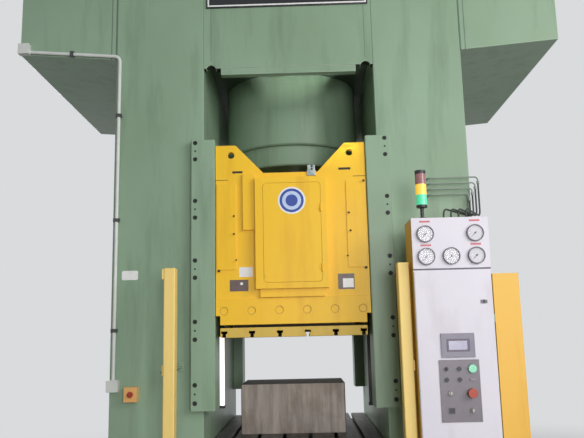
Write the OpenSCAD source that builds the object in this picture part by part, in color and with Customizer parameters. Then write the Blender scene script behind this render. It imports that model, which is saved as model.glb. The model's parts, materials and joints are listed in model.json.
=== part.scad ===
// Hydraulic stamping press with a closed welded frame: two box columns, crown and bed
// round a window, a cylinder hung in the crown, a guided ram with T-slots, a table with
// a riser block, and a control cabinet in front of the right column.
// Millimetres. Origin on the floor under the ram's axis, +X right, +Y to the rear, +Z up.

/* [Frame] */
// Width over the two columns
frame_w = 2530; // [2450:10:2800]
// Depth of the frame, front face to rear face
frame_d = 2100; // [1900:10:2400]
// Height of the columns and the crown above the floor
frame_h = 4750; // [4700:10:5000]
// Width of the window between the columns
window_w = 1240; // [1200:10:1320]
// Height of the window's upper edge above the floor
window_top = 3560; // [3500:10:3640]
// Height of the table's working face above the floor
table_h = 880; // [840:10:920]
// Thickness of the crown's front and rear plates
crown_plate_t = 70; // [50:5:90]
// How far the crown's plates hang below its block
crown_drop = 140; // [100:10:160]
// Height of the stiffening bar under the crown's plates
lip_h = 50; // [30:5:60]
// Distance from the window's corner to the end of that bar
lip_end = 125; // [100:5:160]
// Radius of the relief hole at the window's upper corners
relief_r = 36; // [25:1:45]
// Chamfer along the upright edges of the welded boxes
edge_c = 5; // [2:1:8]
// How far the foot flanges reach out from the columns
foot_out = 180; // [140:5:220]
// Thickness of the foot flanges
foot_t = 60; // [40:5:80]
// Radius of the anchor holes in the foot flanges
anchor_r = 26; // [18:1:32]
// Distance from the frame's middle to the anchor holes, front to rear
anchor_y = 800; // [600:10:850]
// Height of the gussets on the foot flanges
gusset_h = 300; // [200:10:400]

/* [Wings] */
// Width of each side wing beside the crown
wing_w = 721; // [500:1:800]
// Depth of each side wing, from the frame's face
wing_d = 2000; // [1700:10:2100]
// Height of the wings' underside at the column
wing_low = 3650; // [3600:10:3750]
// Rise of that underside towards the outer end
wing_rise = 60; // [0:5:100]
// Height of the wings' top
wing_top = 4480; // [4300:10:4650]

// Width of the blank sign board on the crown
sign_w = 1200; // [1000:10:1230]
// Height of the sign board
sign_h = 230; // [160:5:300]
// Thickness of the sign board
sign_t = 12; // [6:1:20]
// Height of the sign board's lower edge above the floor
sign_z = 4030; // [3900:10:4300]

/* [Table] */
// Thickness of the bolster plate
bolster_t = 160; // [120:5:200]
// Clearance between the bolster plate and each column
bolster_gap = 10; // [5:1:20]
// Distance from the frame's face to the bolster plate's edge
bolster_inset = 100; // [60:5:150]
// Width of the riser block
riser_w = 800; // [700:10:900]
// Depth of the riser block
riser_d = 600; // [500:10:700]
// Height of the riser block
riser_h = 370; // [300:10:400]
// Sideways place of the riser block's middle
riser_x = -30; // [-60:5:60]
// Place of the riser block's middle, front to rear
riser_y = -100; // [-150:10:100]

/* [T-slots] */
// Distance between neighbouring T-slots
slot_pitch = 190; // [170:1:190]
// Throat width of the ram's T-slots
ram_slot_w = 24; // [18:1:26]
// Head width of the ram's T-slots
ram_slot_head = 42; // [34:1:44]
// Head height of the ram's T-slots
ram_slot_head_h = 18; // [12:1:20]
// Throat depth of the ram's T-slots
ram_slot_lip = 25; // [18:1:28]
// Throat width of the table's T-slots
table_slot_w = 28; // [22:1:32]
// Head width of the table's T-slots
table_slot_head = 48; // [40:1:54]
// Head height of the table's T-slots
table_slot_head_h = 20; // [14:1:24]
// Throat depth of the table's T-slots
table_slot_lip = 30; // [24:1:40]

/* [Ram] */
// Height of the ram's lower face above the floor with the ram up
ram_low = 1607; // [1597:1:1640]
// Thickness of the T-slot plate
slot_plate_t = 65; // [55:1:75]
// Height of the groove above the T-slot plate
groove_h = 20; // [12:1:25]
// Depth of that groove
groove_d = 80; // [25:1:100]
// Height of the ram's body above the groove
ram_h = 948; // [900:1:1000]
// Distance from the frame's face to the ram body's face
ram_inset = 10; // [5:1:20]
// Thickness of the ram's front and rear plates
ram_plate_t = 50; // [40:5:60]
// Height of the bare lower stretch of the ram, below its guide strips
ram_bare_h = 62; // [50:1:110]
// Height of the plates' notch above the groove
notch_z = 1060; // [1055:1:1080]
// Half width of the notch at its bottom
notch_w = 192; // [160:1:220]
// Height of the ears above the groove
ear_z = 1266; // [1240:1:1300]
// Width of the ears' flat top
ear_w = 144; // [120:1:180]
// Radius of the lifting holes in the ears
ear_hole_r = 24; // [18:1:30]
// Distance from the ears' top to the lifting holes
ear_hole_drop = 72; // [60:1:90]
// Distance from the plates' side to the lifting holes
ear_hole_in = 111; // [90:1:130]
// Height of the thick band at the foot of the plates
band_h = 180; // [160:1:182]
// How far the band stands proud
band_out = 8; // [4:1:12]
// Radius of the round recesses in the band
plug_r = 28; // [20:1:32]
// Depth of the round recesses in the band
plug_d = 4; // [2:1:6]
// Height of the round recesses above the band's foot
plug_z = 95; // [70:1:120]

/* [Guides] */
// Thickness of the gibs' leg inside the window
gib_leg = 86; // [76:1:96]
// Depth of that leg behind the frame's face
gib_leg_d = 180; // [140:5:220]
// Thickness of the gibs' flange on the frame's face
gib_t = 60; // [50:1:70]
// Width of that flange on the column
gib_flange = 82; // [70:1:90]
// Height of the gibs' lower end above the floor
gib_low = 1128; // [1060:1:1160]
// Length of the gibs
gib_len = 1872; // [1840:1:1940]
// Running clearance between a guide strip and its gib
guide_gap = 0.4; // [0.3:0.1:0.8]
// Thickness of the bronze guide strips
strip_t = 33; // [25:1:40]
// How far the ram's plates stay back from the strips' face
plate_back = 3; // [2:1:6]
// Number of screw groups along a gib
screw_groups = 5; // [4:1:6]
// Distance from one screw group to the next
screw_pitch = 420; // [300:5:424]
// Distance between the two cap screws of a group
screw_pair = 119; // [90:1:130]
// Distance from the gib's lower end to the middle of the first group
screw_first = 111; // [90:1:120]
// Distance from the window's edge to the screws
screw_x = 52; // [40:1:58]
// Radius of the cap screws' head
screw_head_r = 15; // [12:1:18]
// Height of the cap screws' head
screw_head_h = 20; // [16:1:24]
// Radius of the cap screws' shank
screw_r = 10; // [8:1:11]
// Width across the corners of the hexagon socket
socket_w = 19; // [12:1:20]
// Depth of that socket
socket_d = 10; // [6:1:12]
// Radius of the set screw between them
set_screw_r = 6; // [4:1:8]
// Clearance round a screw in its hole
screw_gap = 1; // [0.5:0.5:2]

/* [Cylinder] */
// Outer radius of the cylinder
barrel_r = 560; // [520:5:580]
// Radius of the cylinder's bore
bore_r = 360; // [320:5:380]
// Height of the cylinder's lower end above the floor
barrel_low = 3111; // [3060:1:3160]
// Thickness of the cylinder's closed end
head_t = 370; // [300:10:450]
// Radius of the flange that hangs the cylinder on the crown
barrel_flange_r = 660; // [640:5:700]
// Thickness of that flange
barrel_flange_t = 100; // [80:5:120]
// Depth of the shallow step on the cylinder's side
barrel_step = 4; // [2:1:8]
// Height of that step above the cylinder's lower end
barrel_step_z = 300; // [250:10:350]
// Outer radius of the gland ring
gland_r = 515; // [490:5:530]
// Height of the gland ring
gland_h = 159; // [130:1:170]
// Radius of the piston rod
rod_r = 300; // [260:5:310]
// Height of the piston
piston_h = 200; // [150:10:250]
// Space above the piston with the ram up
piston_space = 30; // [10:5:60]
// Radius of the rod's flange on the ram
rod_flange_r = 380; // [350:5:400]
// Height of that flange
rod_flange_h = 60; // [40:5:80]
// Running clearance of the rod and the piston
seal_gap = 0.3; // [0.3:0.1:0.6]

/* [Hatch] */
// Width of the hatch frame
hatch_w = 496; // [480:2:560]
// Height of the hatch frame
hatch_h = 775; // [740:5:800]
// Sideways place of the hatch frame's middle
hatch_x = -2; // [-10:1:20]
// Height of the hatch frame's lower edge above the groove
hatch_z = 238; // [238:1:246]
// How far the hatch frame stands proud of the ram's plate
hatch_out = 60; // [50:1:70]
// Height of the ledge under the hatch frame
ledge_h = 56; // [40:1:56]
// How far the ledge stands proud
ledge_out = 30; // [15:1:40]
// Distance from the hatch frame's middle to the hatch door's middle
door_x = 8; // [0:1:14]
// Width of the hatch door
door_w = 398; // [380:2:420]
// Height of the hatch door
door_h = 690; // [640:5:700]
// Thickness of the hatch door
door_t = 18; // [12:1:20]
// Corner radius of the hatch door
door_r = 25; // [15:1:35]
// Gap round the hatch door
door_gap = 2; // [1:0.5:3]
// Width of the lap behind the hatch door
door_lap = 22; // [16:1:30]
// Distance from the hatch door's upper end to the pocket
pocket_top = 80; // [60:5:120]
// Depth of the pocket in the ram's body behind the hatch
pocket_d = 120; // [60:10:150]
// Height of the lower hinge above the hatch door's lower edge
hinge_low = 95; // [70:5:130]
// Height of the upper hinge above the hatch door's lower edge
hinge_high = 510; // [450:5:560]
// Radius of a hinge knuckle
knuckle_r = 6; // [5:0.5:8]
// Length of a hinge knuckle
knuckle_l = 18; // [14:1:24]
// Radius of a hinge pin
pin_r = 2.5; // [2:0.5:3]
// Radial clearance of a hinge pin
pin_gap = 0.05; // [0.04:0.01:0.08]
// Width of a hinge leaf beyond the pin
leaf_w = 22; // [18:1:26]
// Thickness of a hinge leaf
leaf_t = 3; // [2:0.5:4]
// Gap between neighbouring knuckles
knuckle_gap = 0.5; // [0.4:0.1:1]
// Radius of the hatch door's latch
latch_r = 9; // [6:0.5:10]
// How far the latch stands proud
latch_out = 6; // [3:0.5:8]
// Distance from the door's left edge to the latch
latch_x = 14; // [12:1:30]
// Height of the latch above the door's lower edge
latch_z = 46; // [30:1:80]

/* [Ram covers] */
// Width of the side covers
cover_w = 134; // [110:1:136]
// Height of the side covers
cover_h = 610; // [560:5:640]
// Thickness of the side covers
cover_t = 8; // [5:1:12]
// Distance from the plates' side to the side covers
cover_in = 10; // [6:1:16]
// Height of the side covers' lower edge above the groove
cover_z = 376; // [350:1:390]
// Width of the narrow pipe cover
pipe_cover_w = 84; // [60:1:88]
// Height of the narrow pipe cover
pipe_cover_h = 400; // [360:5:410]
// Thickness of the narrow pipe cover
pipe_cover_t = 26; // [16:1:34]
// Height of the pipe cover's lower edge above the groove
pipe_cover_z = 650; // [620:5:670]
// Gap between the pipe cover and the hatch frame
pipe_cover_gap = 4; // [2:1:6]

/* [Cabinet] */
// Width of the control cabinet
cab_w = 480; // [460:5:520]
// Depth of the control cabinet's housing
cab_d = 380; // [340:5:420]
// Height of the control cabinet
cab_h = 2000; // [1980:5:2100]
// Distance from the window's edge to the cabinet's left side
cab_x = 137; // [130:1:160]
// Space between the cabinet's back and the column
cab_gap = 100; // [80:5:150]
// Thickness of the cabinet's sheet
cab_wall = 4; // [3:0.5:6]
// Width of the frame round the door opening
cab_lip = 22; // [18:1:30]
// Height of the cabinet's plinth
plinth_h = 100; // [60:5:120]
// Thickness of the cabinet's door
cab_door_t = 19; // [16:1:24]
// Thickness of the sheet of that door
cab_skin = 3; // [2:0.5:4]
// Gap between the door and the housing
cab_door_gap = 1; // [0.5:0.5:2]
// Radius of the door's pivot pins
pivot_r = 4; // [3:0.5:5]
// Height of the pivot lugs
lug_h = 8; // [6:1:12]
// Height of the gauge box
gauge_box_h = 320; // [300:5:340]
// Depth of the gauge box
gauge_box_d = 266; // [240:5:300]
// How far the gauge box stands in front of the door
gauge_box_out = 6; // [3:1:12]
// Thickness of the plate that carries the switchgear
gear_plate_t = 3; // [2:0.5:5]
// Length of the studs that carry that plate
gear_stud = 25; // [20:1:40]
// Radius of those studs
gear_stud_r = 6; // [4:0.5:8]
// Space round that plate, and from its edge to the studs
gear_inset = 20; // [12:1:30]
// Rows of switchgear
gear_rows = 4; // [3:1:5]
// Devices in a row
gear_count = 4; // [3:1:5]
// Height of a switchgear device
gear_h = 140; // [90:5:150]
// Depth of a switchgear device
gear_d = 70; // [50:5:90]
// Height of a wiring duct
duct_h = 40; // [25:5:50]
// Depth of a wiring duct
duct_d = 40; // [25:5:60]
// Width of the door lock's plate
lock_plate_w = 40; // [30:1:50]
// Height of that plate
lock_plate_h = 22; // [18:1:28]
// Thickness of that plate
lock_plate_t = 4; // [2:0.5:5]
// Distance from the cabinet's right side to the door lock
lock_in = 57; // [45:1:80]
// Distance from the cabinet's top to the door lock
lock_drop = 209; // [180:1:260]
// Fold round the door's edge
cab_fold = 15; // [12:1:18]

/* [Gauges] */
// Outer radius of a pressure gauge
gauge_r = 53.5; // [45:0.5:58]
// How far a gauge stands proud
gauge_out = 16; // [12:1:22]
// Depth of the dial behind the rim
dial_d = 8; // [6:0.5:10]
// Width of the rim
rim_w = 6.5; // [4:0.5:8]
// Distance between the gauges' columns
gauge_dx = 155; // [130:1:165]
// Height of the upper gauges above the gauge box's foot
gauge_z_high = 217; // [210:1:240]
// Height of the lower gauges above the gauge box's foot
gauge_z_low = 76; // [65:1:84]
// Radius of a needle's hub
needle_hub_r = 6; // [4:0.5:8]
// Thickness of a needle
needle_t = 1.5; // [1:0.5:2.5]
// Length of a needle
needle_l = 38; // [30:1:42]
// Width of a needle
needle_w = 4.4; // [3:0.2:6]
// Gap between a needle and its dial
needle_gap = 0.3; // [0.3:0.1:0.8]

/* [Operator panel] */
// Width of the operator panel
panel_w = 243; // [236:1:280]
// Height of the operator panel
panel_h = 366; // [360:1:420]
// Thickness of the operator panel
panel_t = 4; // [3:0.5:6]
// Height of the operator panel's foot above the floor
panel_z = 1079; // [1040:1:1100]
// Sideways place of the panel's middle from the cabinet's middle
panel_x = 6; // [-10:1:20]
// Distance between the panel's control columns
control_dx = 78; // [72:1:84]
// Distance from the panel's upper edge to its first row
row_first = 54; // [46:1:58]
// Distance from the first row to the second
row_step_2 = 63; // [56:1:66]
// Distance from the second row to the third
row_step_3 = 80; // [70:1:84]
// Distance from the third row to the fourth
row_step_4 = 101; // [90:1:106]
// Width of the screen unit
hmi_w = 204; // [180:1:220]
// Height of the screen unit
hmi_h = 145; // [130:1:160]
// Gap between the operator panel and the screen unit
hmi_gap = 13; // [8:1:20]
// Thickness of the screen unit's rim
hmi_t = 8; // [6:1:12]
// Width of the screen
screen_w = 140; // [120:1:150]
// Height of the screen
screen_h = 76; // [66:1:90]
// Depth of the screen behind its rim
screen_d = 2; // [1:0.5:3]
// Radius of a push button
button_r = 11; // [9:0.5:13]
// Radius of the start button
start_r = 25; // [20:0.5:27]
// Radius of the emergency stop's head
stop_r = 28; // [22:0.5:30]
// Thickness of that head
stop_t = 16; // [10:1:20]
// Length of its neck in front of its collar
stop_neck = 6; // [4:0.5:9]
// How far the grip of a turned control stands proud
grip_h = 11; // [8:0.5:14]
// Wall of the collars round the controls
collar_t = 3.5; // [2.5:0.5:5]
// Height of the collars
collar_h = 7; // [5:0.5:9]
// Thickness of a control's cap
cap_t = 9; // [7:0.5:12]
// Space under a button's cap
button_space = 5; // [5:0.5:7]
// Sliding clearance of a control in its collar
control_gap = 0.3; // [0.3:0.05:0.5]
// Edge of the square socket plate
outlet_w = 36; // [30:1:40]
// Radius of the door lock's core
lock_r = 7; // [5:0.5:8]
// Depth of that core in the door
lock_d = 7; // [5:0.5:9]
// How far that core stands proud of the door
lock_out = 5; // [4:0.5:8]
// Thickness of a key
key_t = 2.5; // [2:0.5:4]

/* [Signal tower] */
// Radius of the lamps
lamp_r = 35; // [30:1:40]
// Height of one lamp
lamp_h = 68; // [50:1:75]
// Height of the pole under the lamps
pole_h = 70; // [50:1:120]
// Radius of that pole
pole_r = 12; // [10:1:15]
// Distance from the cabinet's left side to the tower
tower_in = 93; // [60:1:120]
// Distance from the gauge box's front to the tower
tower_back = 106; // [60:1:160]
// Height of the cap on the lamps
tower_cap = 24; // [12:1:40]
// Thickness of the flanges under the pole and the lamps
tower_flange = 15; // [8:1:20]

/* [Light curtain] */
// Height of the posts
post_h = 2050; // [1900:10:2200]
// Width of the posts
post_w = 72; // [60:1:76]
// Depth of the posts
post_d = 90; // [70:1:110]
// Distance from the frame's face to the posts' middle
post_out = 400; // [350:5:430]
// Distance from the window's edge to the right post's middle
post_right = 84; // [80:1:90]
// Distance from the window's edge to the left post's middle
post_left = 152; // [120:1:200]
// Thickness of the posts' foot plates
post_foot_t = 12; // [8:1:16]
// Height of the upper stand-off arms
arm_z_high = 1420; // [1300:5:1500]
// Height of the lower stand-off arms
arm_z_low = 320; // [200:5:400]
// Thickness of the stand-off arms
arm_t = 30; // [24:1:34]
// Gap between a gib's flange and the arms of the right post
arm_gap = 4; // [2:1:8]
// How far the posts' foot plates reach out in front and behind
post_toe = 30; // [15:1:40]

/* [Side guard] */
// Width of the side guard
guard_w = 180; // [140:5:240]
// Height of the side guard
guard_h = 2005; // [1900:5:2100]
// Thickness of the side guard
guard_t = 30; // [20:1:40]
// Space between the column and the side guard
guard_gap = 112; // [80:1:140]
// Height of the side guard's upper arm
guard_arm_z = 1700; // [1500:10:1800]
// Thickness of the side guard's sheet
guard_wall = 3; // [2:0.5:4]
// Width of the side guard's folded edges
guard_fold = 12; // [8:1:20]
// Height of the side guard's open foot fold
guard_foot = 30; // [20:1:50]

/* [Conduit] */
// Radius of the conduit
conduit_r = 12.5; // [10:0.5:16]
// Bend radius of the conduit
conduit_bend = 45; // [36:1:80]
// Distance from the column's outer edge to the conduit
conduit_in = 30; // [25:1:45]
// Height of the conduit's run above the wing's lower edge
conduit_up = 18; // [17:1:60]
// Space between the conduit and the frame
conduit_gap = 6; // [4:1:10]
// Width of a saddle on the conduit
saddle_w = 41; // [38:1:50]
// Wall of a saddle in front of the conduit
saddle_wall = 4; // [3:0.5:6]
// Clearance round the conduit in a saddle
saddle_gap = 0.1; // [0.1:0.1:0.5]
// Height of the lowest saddle above the junction box
saddle_first = 330; // [250:5:400]
// Distance between neighbouring saddles on the column
saddle_pitch = 770; // [650:5:800]
// Edge of the square junction box
jbox_w = 80; // [70:1:90]
// Depth of the junction box
jbox_d = 50; // [45:1:60]
// Height of the junction box's foot above the floor
jbox_z = 1262; // [1200:1:1300]
// Width of the isolator box
isolator_w = 88; // [76:1:100]
// Height of the isolator box
isolator_h = 98; // [86:1:110]
// Depth of the isolator box
isolator_d = 60; // [50:1:70]
// Distance from the column's outer edge to the isolator box's middle
isolator_in = 158; // [140:1:180]
// Distance from the junction box's foot down to the isolator box's middle
isolator_drop = 17; // [0:1:40]
// Radius of the isolator's knob
knob_r = 20; // [16:1:24]
// Height of the isolator's knob
knob_h = 22; // [16:1:30]
// Radius of the shank that holds the knob in its box
shank_r = 14; // [8:0.5:15]
// Depth of that shank in the box
shank_l = 6; // [4:0.5:8]

/* [Work lamps] */
// Radius of a work lamp's tube
tube_r = 18; // [14:1:20]
// Length of a work lamp's tube
tube_l = 504; // [450:2:520]
// Height of the tube's lower end above the floor
tube_z = 1112; // [1090:1:1130]
// Distance from the frame's face to the work lamps
tube_in = 500; // [450:5:600]
// Space between the column and a work lamp's tube
tube_space = 46; // [30:1:50]
// Wall of the holders round a work lamp's tube
holder_wall = 4; // [3:0.5:6]
// Height of a work lamp's upper holder
holder_h = 170; // [60:1:200]
// Height of a work lamp's lower holder
holder_low_h = 20; // [14:1:30]

/* [Gauge lines] */
// Number of gauge lines
line_count = 4; // [3:1:5]
// Radius of a gauge line
line_r = 5; // [4:0.5:6]
// Bend radius of a gauge line
line_bend = 24; // [18:1:28]
// Height of the lowest gauge line above the gauge box
line_rise = 239; // [220:1:280]
// Distance between neighbouring gauge lines
line_pitch = 40; // [34:1:44]
// Distance from the frame's face to the gauge lines
line_out = 50; // [40:1:60]
// Distance from the window's edge to the lines' bulkhead ends
line_start = 345; // [300:5:380]
// How far the lowest line stops short of the column's edge
line_short = 20; // [10:1:30]
// How much further out each line ends than the one below
line_step = 22; // [22:1:28]
// Length of the union at a line's end
union_h = 20; // [14:1:24]
// Thickness of a line's bulkhead nut, and of a hose's nut on the gauge box
line_nut = 12; // [8:1:16]
// Wall that a hose adds to the line's radius
hose_wall = 1; // [0.5:0.5:1]
// Height of the hoses above the gauge box
hose_rise = 80; // [60:1:95]
// Bend radius of the hoses
hose_bend = 45; // [30:1:45]
// Distance from the cabinet's left side to the first hose
hose_x = 235; // [200:5:260]
// Distance between the hoses on the gauge box
hose_pitch = 48; // [40:1:56]

/* [Power unit] */
// Place of the motor's front end, front to rear
motor_y = 60; // [0:10:120]
// Space between the frame's top and the motor
motor_lift = 40; // [20:5:80]
// Radius of the pump's motor
motor_r = 170; // [140:5:190]
// Length of the pump's motor
motor_l = 520; // [450:10:600]
// Radius of the pump
pump_r = 95; // [80:5:110]
// Length of the pump
pump_l = 260; // [200:10:320]
// Distance from the frame's side to the motor's middle
motor_in = 280; // [260:10:320]
// Edge of the valve block
valve_w = 320; // [280:10:360]
// Height of the valve block
valve_h = 240; // [200:10:280]
// Width of a solenoid on the valve block
coil_w = 70; // [50:5:90]
// Length of a solenoid
coil_l = 90; // [60:5:120]
// Radius of a pilot valve on the valve block
pilot_r = 48; // [36:1:56]
// Height of a pilot valve
pilot_h = 70; // [50:5:100]
// Thickness of a pipe's flange
pipe_flange_t = 20; // [14:1:30]
// Radius of the pressure pipe
pressure_r = 30; // [24:1:36]
// Radius of the suction pipe
suction_r = 45; // [36:1:50]
// Bend radius of the pressure and suction pipes
feed_bend = 90; // [80:5:110]

/* [Hidden] */
$fn = 96;
eps = 1;

green = "#82A088";
yellow = "#F0BF33";
pale = "#DDD6E2";
steel = "#8E8783";
dark = "#2A2B2C";
bronze = "#9A7B45";

front_y = -frame_d / 2;
col_in = window_w / 2;
col_out = frame_w / 2;
anchor_x = col_out + foot_out / 2;
crown_low = window_top + crown_drop;
bolster_x = col_in - bolster_gap;
bolster_y = frame_d / 2 - bolster_inset;
bolster_low = table_h - bolster_t;
slot_count = 6;

gib_in = col_in - gib_leg;
gib_out = col_in + gib_flange;
strip_x = gib_in - guide_gap;
ram_x = strip_x - strip_t;
plate_x = strip_x - plate_back;
ram_y = frame_d / 2 - ram_inset;
plate_y = ram_y + ram_plate_t;
groove_z = ram_low + slot_plate_t;
ram_z = groove_z + groove_h;
ram_top = ram_z + ram_h;

chamber_top = frame_h + barrel_flange_t - head_t;
piston_top = chamber_top - piston_space;

hatch_face = -plate_y - hatch_out;
hatch_low = ram_z + hatch_z;
hatch_left = hatch_x - hatch_w / 2;
door_left = hatch_x + door_x - door_w / 2;
door_low = hatch_low + (hatch_h - door_h) / 2;
door_right = door_left + door_w;
hatch_pin_x = door_right + door_gap / 2;
hatch_pin_y = hatch_face - knuckle_r - control_gap;
hinge_z = [door_low + hinge_low, door_low + hinge_high];

cab_left = col_in + cab_x;
cab_right = cab_left + cab_w;
cab_mid = cab_left + cab_w / 2;
cab_back = front_y - cab_gap;
cab_front = cab_back - cab_d;
cab_door_back = cab_front - cab_door_gap;
cab_door_face = cab_door_back - cab_door_t;
pivot_x = cab_left + cab_door_t / 2 + eps;
pivot_y = cab_door_back - cab_door_t / 2;
cab_door_low = plinth_h + lug_h + cab_door_gap;
cab_door_top = cab_h - lug_h - cab_door_gap;
gauge_box_face = cab_door_face - gauge_box_out;
dial_y = gauge_box_face - gauge_out + dial_d;
gauges = [
  [cab_mid - gauge_dx, cab_h + gauge_z_high],
  [cab_mid + gauge_dx, cab_h + gauge_z_high],
  [cab_mid - gauge_dx, cab_h + gauge_z_low],
  [cab_mid, cab_h + gauge_z_low],
  [cab_mid + gauge_dx, cab_h + gauge_z_low]
];

panel_mid = cab_mid + panel_x;
panel_face = cab_door_face - panel_t;
hmi_low = panel_z + panel_h + hmi_gap;
button_back = panel_face - button_space;
row_top = panel_z + panel_h - row_first;
row_two = row_top - row_step_2;
row_three = row_two - row_step_3;
row_four = row_three - row_step_4;
// Places across the panel, in control columns, of the controls off the grid
key_col = -0.8;
stop_col = 0.85;
switch_col = 0.82;
socket_col = -0.74;
lock_x = cab_right - lock_in;
lock_z = cab_h - lock_drop;

tower_x = cab_left + tower_in;
tower_y = gauge_box_face + tower_back;
box_top = cab_h + gauge_box_h;
lamp_z = box_top + tower_flange + pole_h + tower_flange;

post_y = front_y - post_out;
post_rear = post_y + post_d / 2;
right_arm_x = gib_out + arm_gap + arm_t / 2;
guard_left = col_out + guard_gap;

wing_end = -(col_out + wing_w);
wing_tilt = atan(wing_rise / wing_w);
jbox_top = jbox_z + jbox_w;
conduit_x = -(col_out - conduit_in);
conduit_y = front_y - conduit_gap - conduit_r;
run_start = conduit_x - conduit_bend * (1 - sin(wing_tilt));
run_stop = wing_end + jbox_w;
run_bend_z = run_z(run_start) - conduit_bend * cos(wing_tilt);
// Height of the conduit's run at x, beside the wing's rising edge
function run_z(x) = wing_low + conduit_up + (-x - col_out) * tan(wing_tilt);
isolator_x = -(col_out - isolator_in);
isolator_mid = jbox_z - isolator_drop;
tube_x = col_in - tube_space - tube_r;
tube_y = front_y + tube_in;

motor_x = col_out - motor_in;
motor_z = frame_h + motor_r + motor_lift;
port_x = pump_r * 1.1;
pipe_y = motor_y - pump_l * 0.55;
valve_low = frame_h + barrel_flange_t;

line_x0 = col_in + line_start;
line_y = front_y - line_out;
line_z = box_top + line_rise;
// Place of line i's downward end and height of its union's foot
function line_x1(i) = col_out - line_short + i * line_step;
function union_z(i) = line_z + i * line_pitch - line_bend - union_h - line_r;

// A box between two corners
module block(x0, x1, y0, y1, z0, z1) {
  translate([x0, y0, z0]) cube([x1 - x0, y1 - y0, z1 - z0]);
}

// A box whose four upright edges are chamfered
module upright_box(x0, x1, y0, y1, z0, z1, c) {
  translate([0, 0, z0]) linear_extrude(z1 - z0) polygon([
    [x0 + c, y0], [x1 - c, y0], [x1, y0 + c], [x1, y1 - c],
    [x1 - c, y1], [x0 + c, y1], [x0, y1 - c], [x0, y0 + c]
  ]);
}

// A round bar along X
module bar_x(x0, x1, y, z, r) {
  translate([x0, y, z]) rotate([0, 90, 0]) cylinder(h = x1 - x0, r = r);
}

// A round bar along Y
module bar_y(x, y0, y1, z, r) {
  translate([x, y0, z]) rotate([-90, 0, 0]) cylinder(h = y1 - y0, r = r);
}

// A round bar along Z
module bar_z(x, y, z0, z1, r) {
  translate([x, y, z0]) cylinder(h = z1 - z0, r = r);
}

// A quarter bend of a tube, from +X round to +Y in its own plane
module quarter_bend(bend, r) {
  rotate_extrude(angle = 90) translate([bend, 0]) circle(r);
}

// One box column with its foot flange, gussets and anchor holes, on the right
module column() {
  difference() {
    union() {
      upright_box(col_in, col_out, front_y, -front_y, 0, frame_h, edge_c);
      block(col_out - eps, col_out + foot_out, front_y, -front_y, 0, foot_t);
      for (y = [front_y + foot_t, 0, -front_y - foot_t])
        translate([col_out, y + foot_t / 3, 0]) rotate([90, 0, 0])
          linear_extrude(foot_t * 2 / 3) polygon([
            [-eps, foot_t - eps], [foot_out - edge_c, foot_t - eps], [foot_out - edge_c, foot_t + foot_t / 2],
            [foot_t / 2, gusset_h], [-eps, gusset_h]
          ]);
    }
    for (y = [-anchor_y, anchor_y]) bar_z(anchor_x, y, -eps, foot_t + eps, anchor_r);
  }
}

module left_column() {
  color(green) mirror([1, 0, 0]) column();
}

module right_column() {
  color(green) column();
}

// The crown: a block between two plates that hang lower, bored for the cylinder
module crown() {
  color(green) difference() {
    union() {
      block(-col_in, col_in, front_y + crown_plate_t - eps, -front_y - crown_plate_t + eps,
            crown_low, frame_h);
      for (s = [-1, 1]) at_end(s) {
        block(-col_in, col_in, front_y, front_y + crown_plate_t, window_top, frame_h);
        block(-col_in + lip_end, col_in - lip_end, front_y + edge_c, front_y + crown_plate_t,
              window_top - lip_h, window_top + eps);
      }
    }
    bar_z(0, 0, crown_low - eps, frame_h + eps, barrel_r + seal_gap);
    for (x = [-1, 1])
      bar_y(x * (col_in - lip_end / 2 + relief_r / 4), front_y - eps, -front_y + eps,
            window_top - relief_r / 3, relief_r);
  }
}

// Its children at the front for s = 1 and at the rear for s = -1
module at_end(s) {
  if (s > 0) children();
  else mirror([0, 1, 0]) children();
}

module bed() {
  color(green) block(-col_in, col_in, front_y, -front_y, 0, bolster_low);
}

// One side wing, on the right: a box with a rising underside
module wing() {
  translate([0, front_y + wing_d, 0]) rotate([90, 0, 0]) linear_extrude(wing_d) polygon([
    [col_out, wing_low], [col_out + wing_w, wing_low + wing_rise],
    [col_out + wing_w, wing_top], [col_out, wing_top]
  ]);
}

module side_wings() {
  color(green) {
    wing();
    mirror([1, 0, 0]) wing();
  }
}

// A blank sign board on the crown's front
module sign_board() {
  color(dark) block(-sign_w / 2, sign_w / 2, front_y - sign_t, front_y, sign_z, sign_z + sign_h);
}

// Section of one T-slot with its mouth at height 0, opening downwards
module tslot_section(w, head, head_h, lip) {
  polygon([
    [-w / 2, -eps], [w / 2, -eps], [w / 2, lip], [head / 2, lip], [head / 2, lip + head_h],
    [-head / 2, lip + head_h], [-head / 2, lip], [-w / 2, lip]
  ]);
}

// A row of T-slots that run front to rear and open downwards at height 0
module tslots(length, w, head, head_h, lip) {
  for (i = [0 : slot_count - 1])
    translate([(i - (slot_count - 1) / 2) * slot_pitch, length / 2 + eps, 0]) rotate([90, 0, 0])
      linear_extrude(length + 2 * eps) tslot_section(w, head, head_h, lip);
}

module bolster_plate() {
  color(steel) difference() {
    block(-bolster_x, bolster_x, -bolster_y, bolster_y, bolster_low, table_h);
    translate([0, 0, table_h]) mirror([0, 0, 1])
      tslots(2 * bolster_y, table_slot_w, table_slot_head, table_slot_head_h, table_slot_lip);
  }
}

module riser_block() {
  color(steel) upright_box(riser_x - riser_w / 2, riser_x + riser_w / 2,
                           riser_y - riser_d / 2, riser_y + riser_d / 2,
                           table_h, table_h + riser_h, edge_c);
}

// The cylinder: a thick barrel, closed above and hung on the crown by its flange
module main_cylinder() {
  color(green) rotate_extrude() polygon([
    [bore_r, barrel_low], [barrel_r - 2 * edge_c, barrel_low], [barrel_r, barrel_low + 2 * edge_c],
    [barrel_r, barrel_low + barrel_step_z],
    [barrel_r - barrel_step, barrel_low + barrel_step_z + barrel_step],
    [barrel_r - barrel_step, frame_h], [barrel_flange_r, frame_h],
    [barrel_flange_r, frame_h + barrel_flange_t], [0, frame_h + barrel_flange_t],
    [0, chamber_top], [bore_r, chamber_top]
  ]);
}

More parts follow.
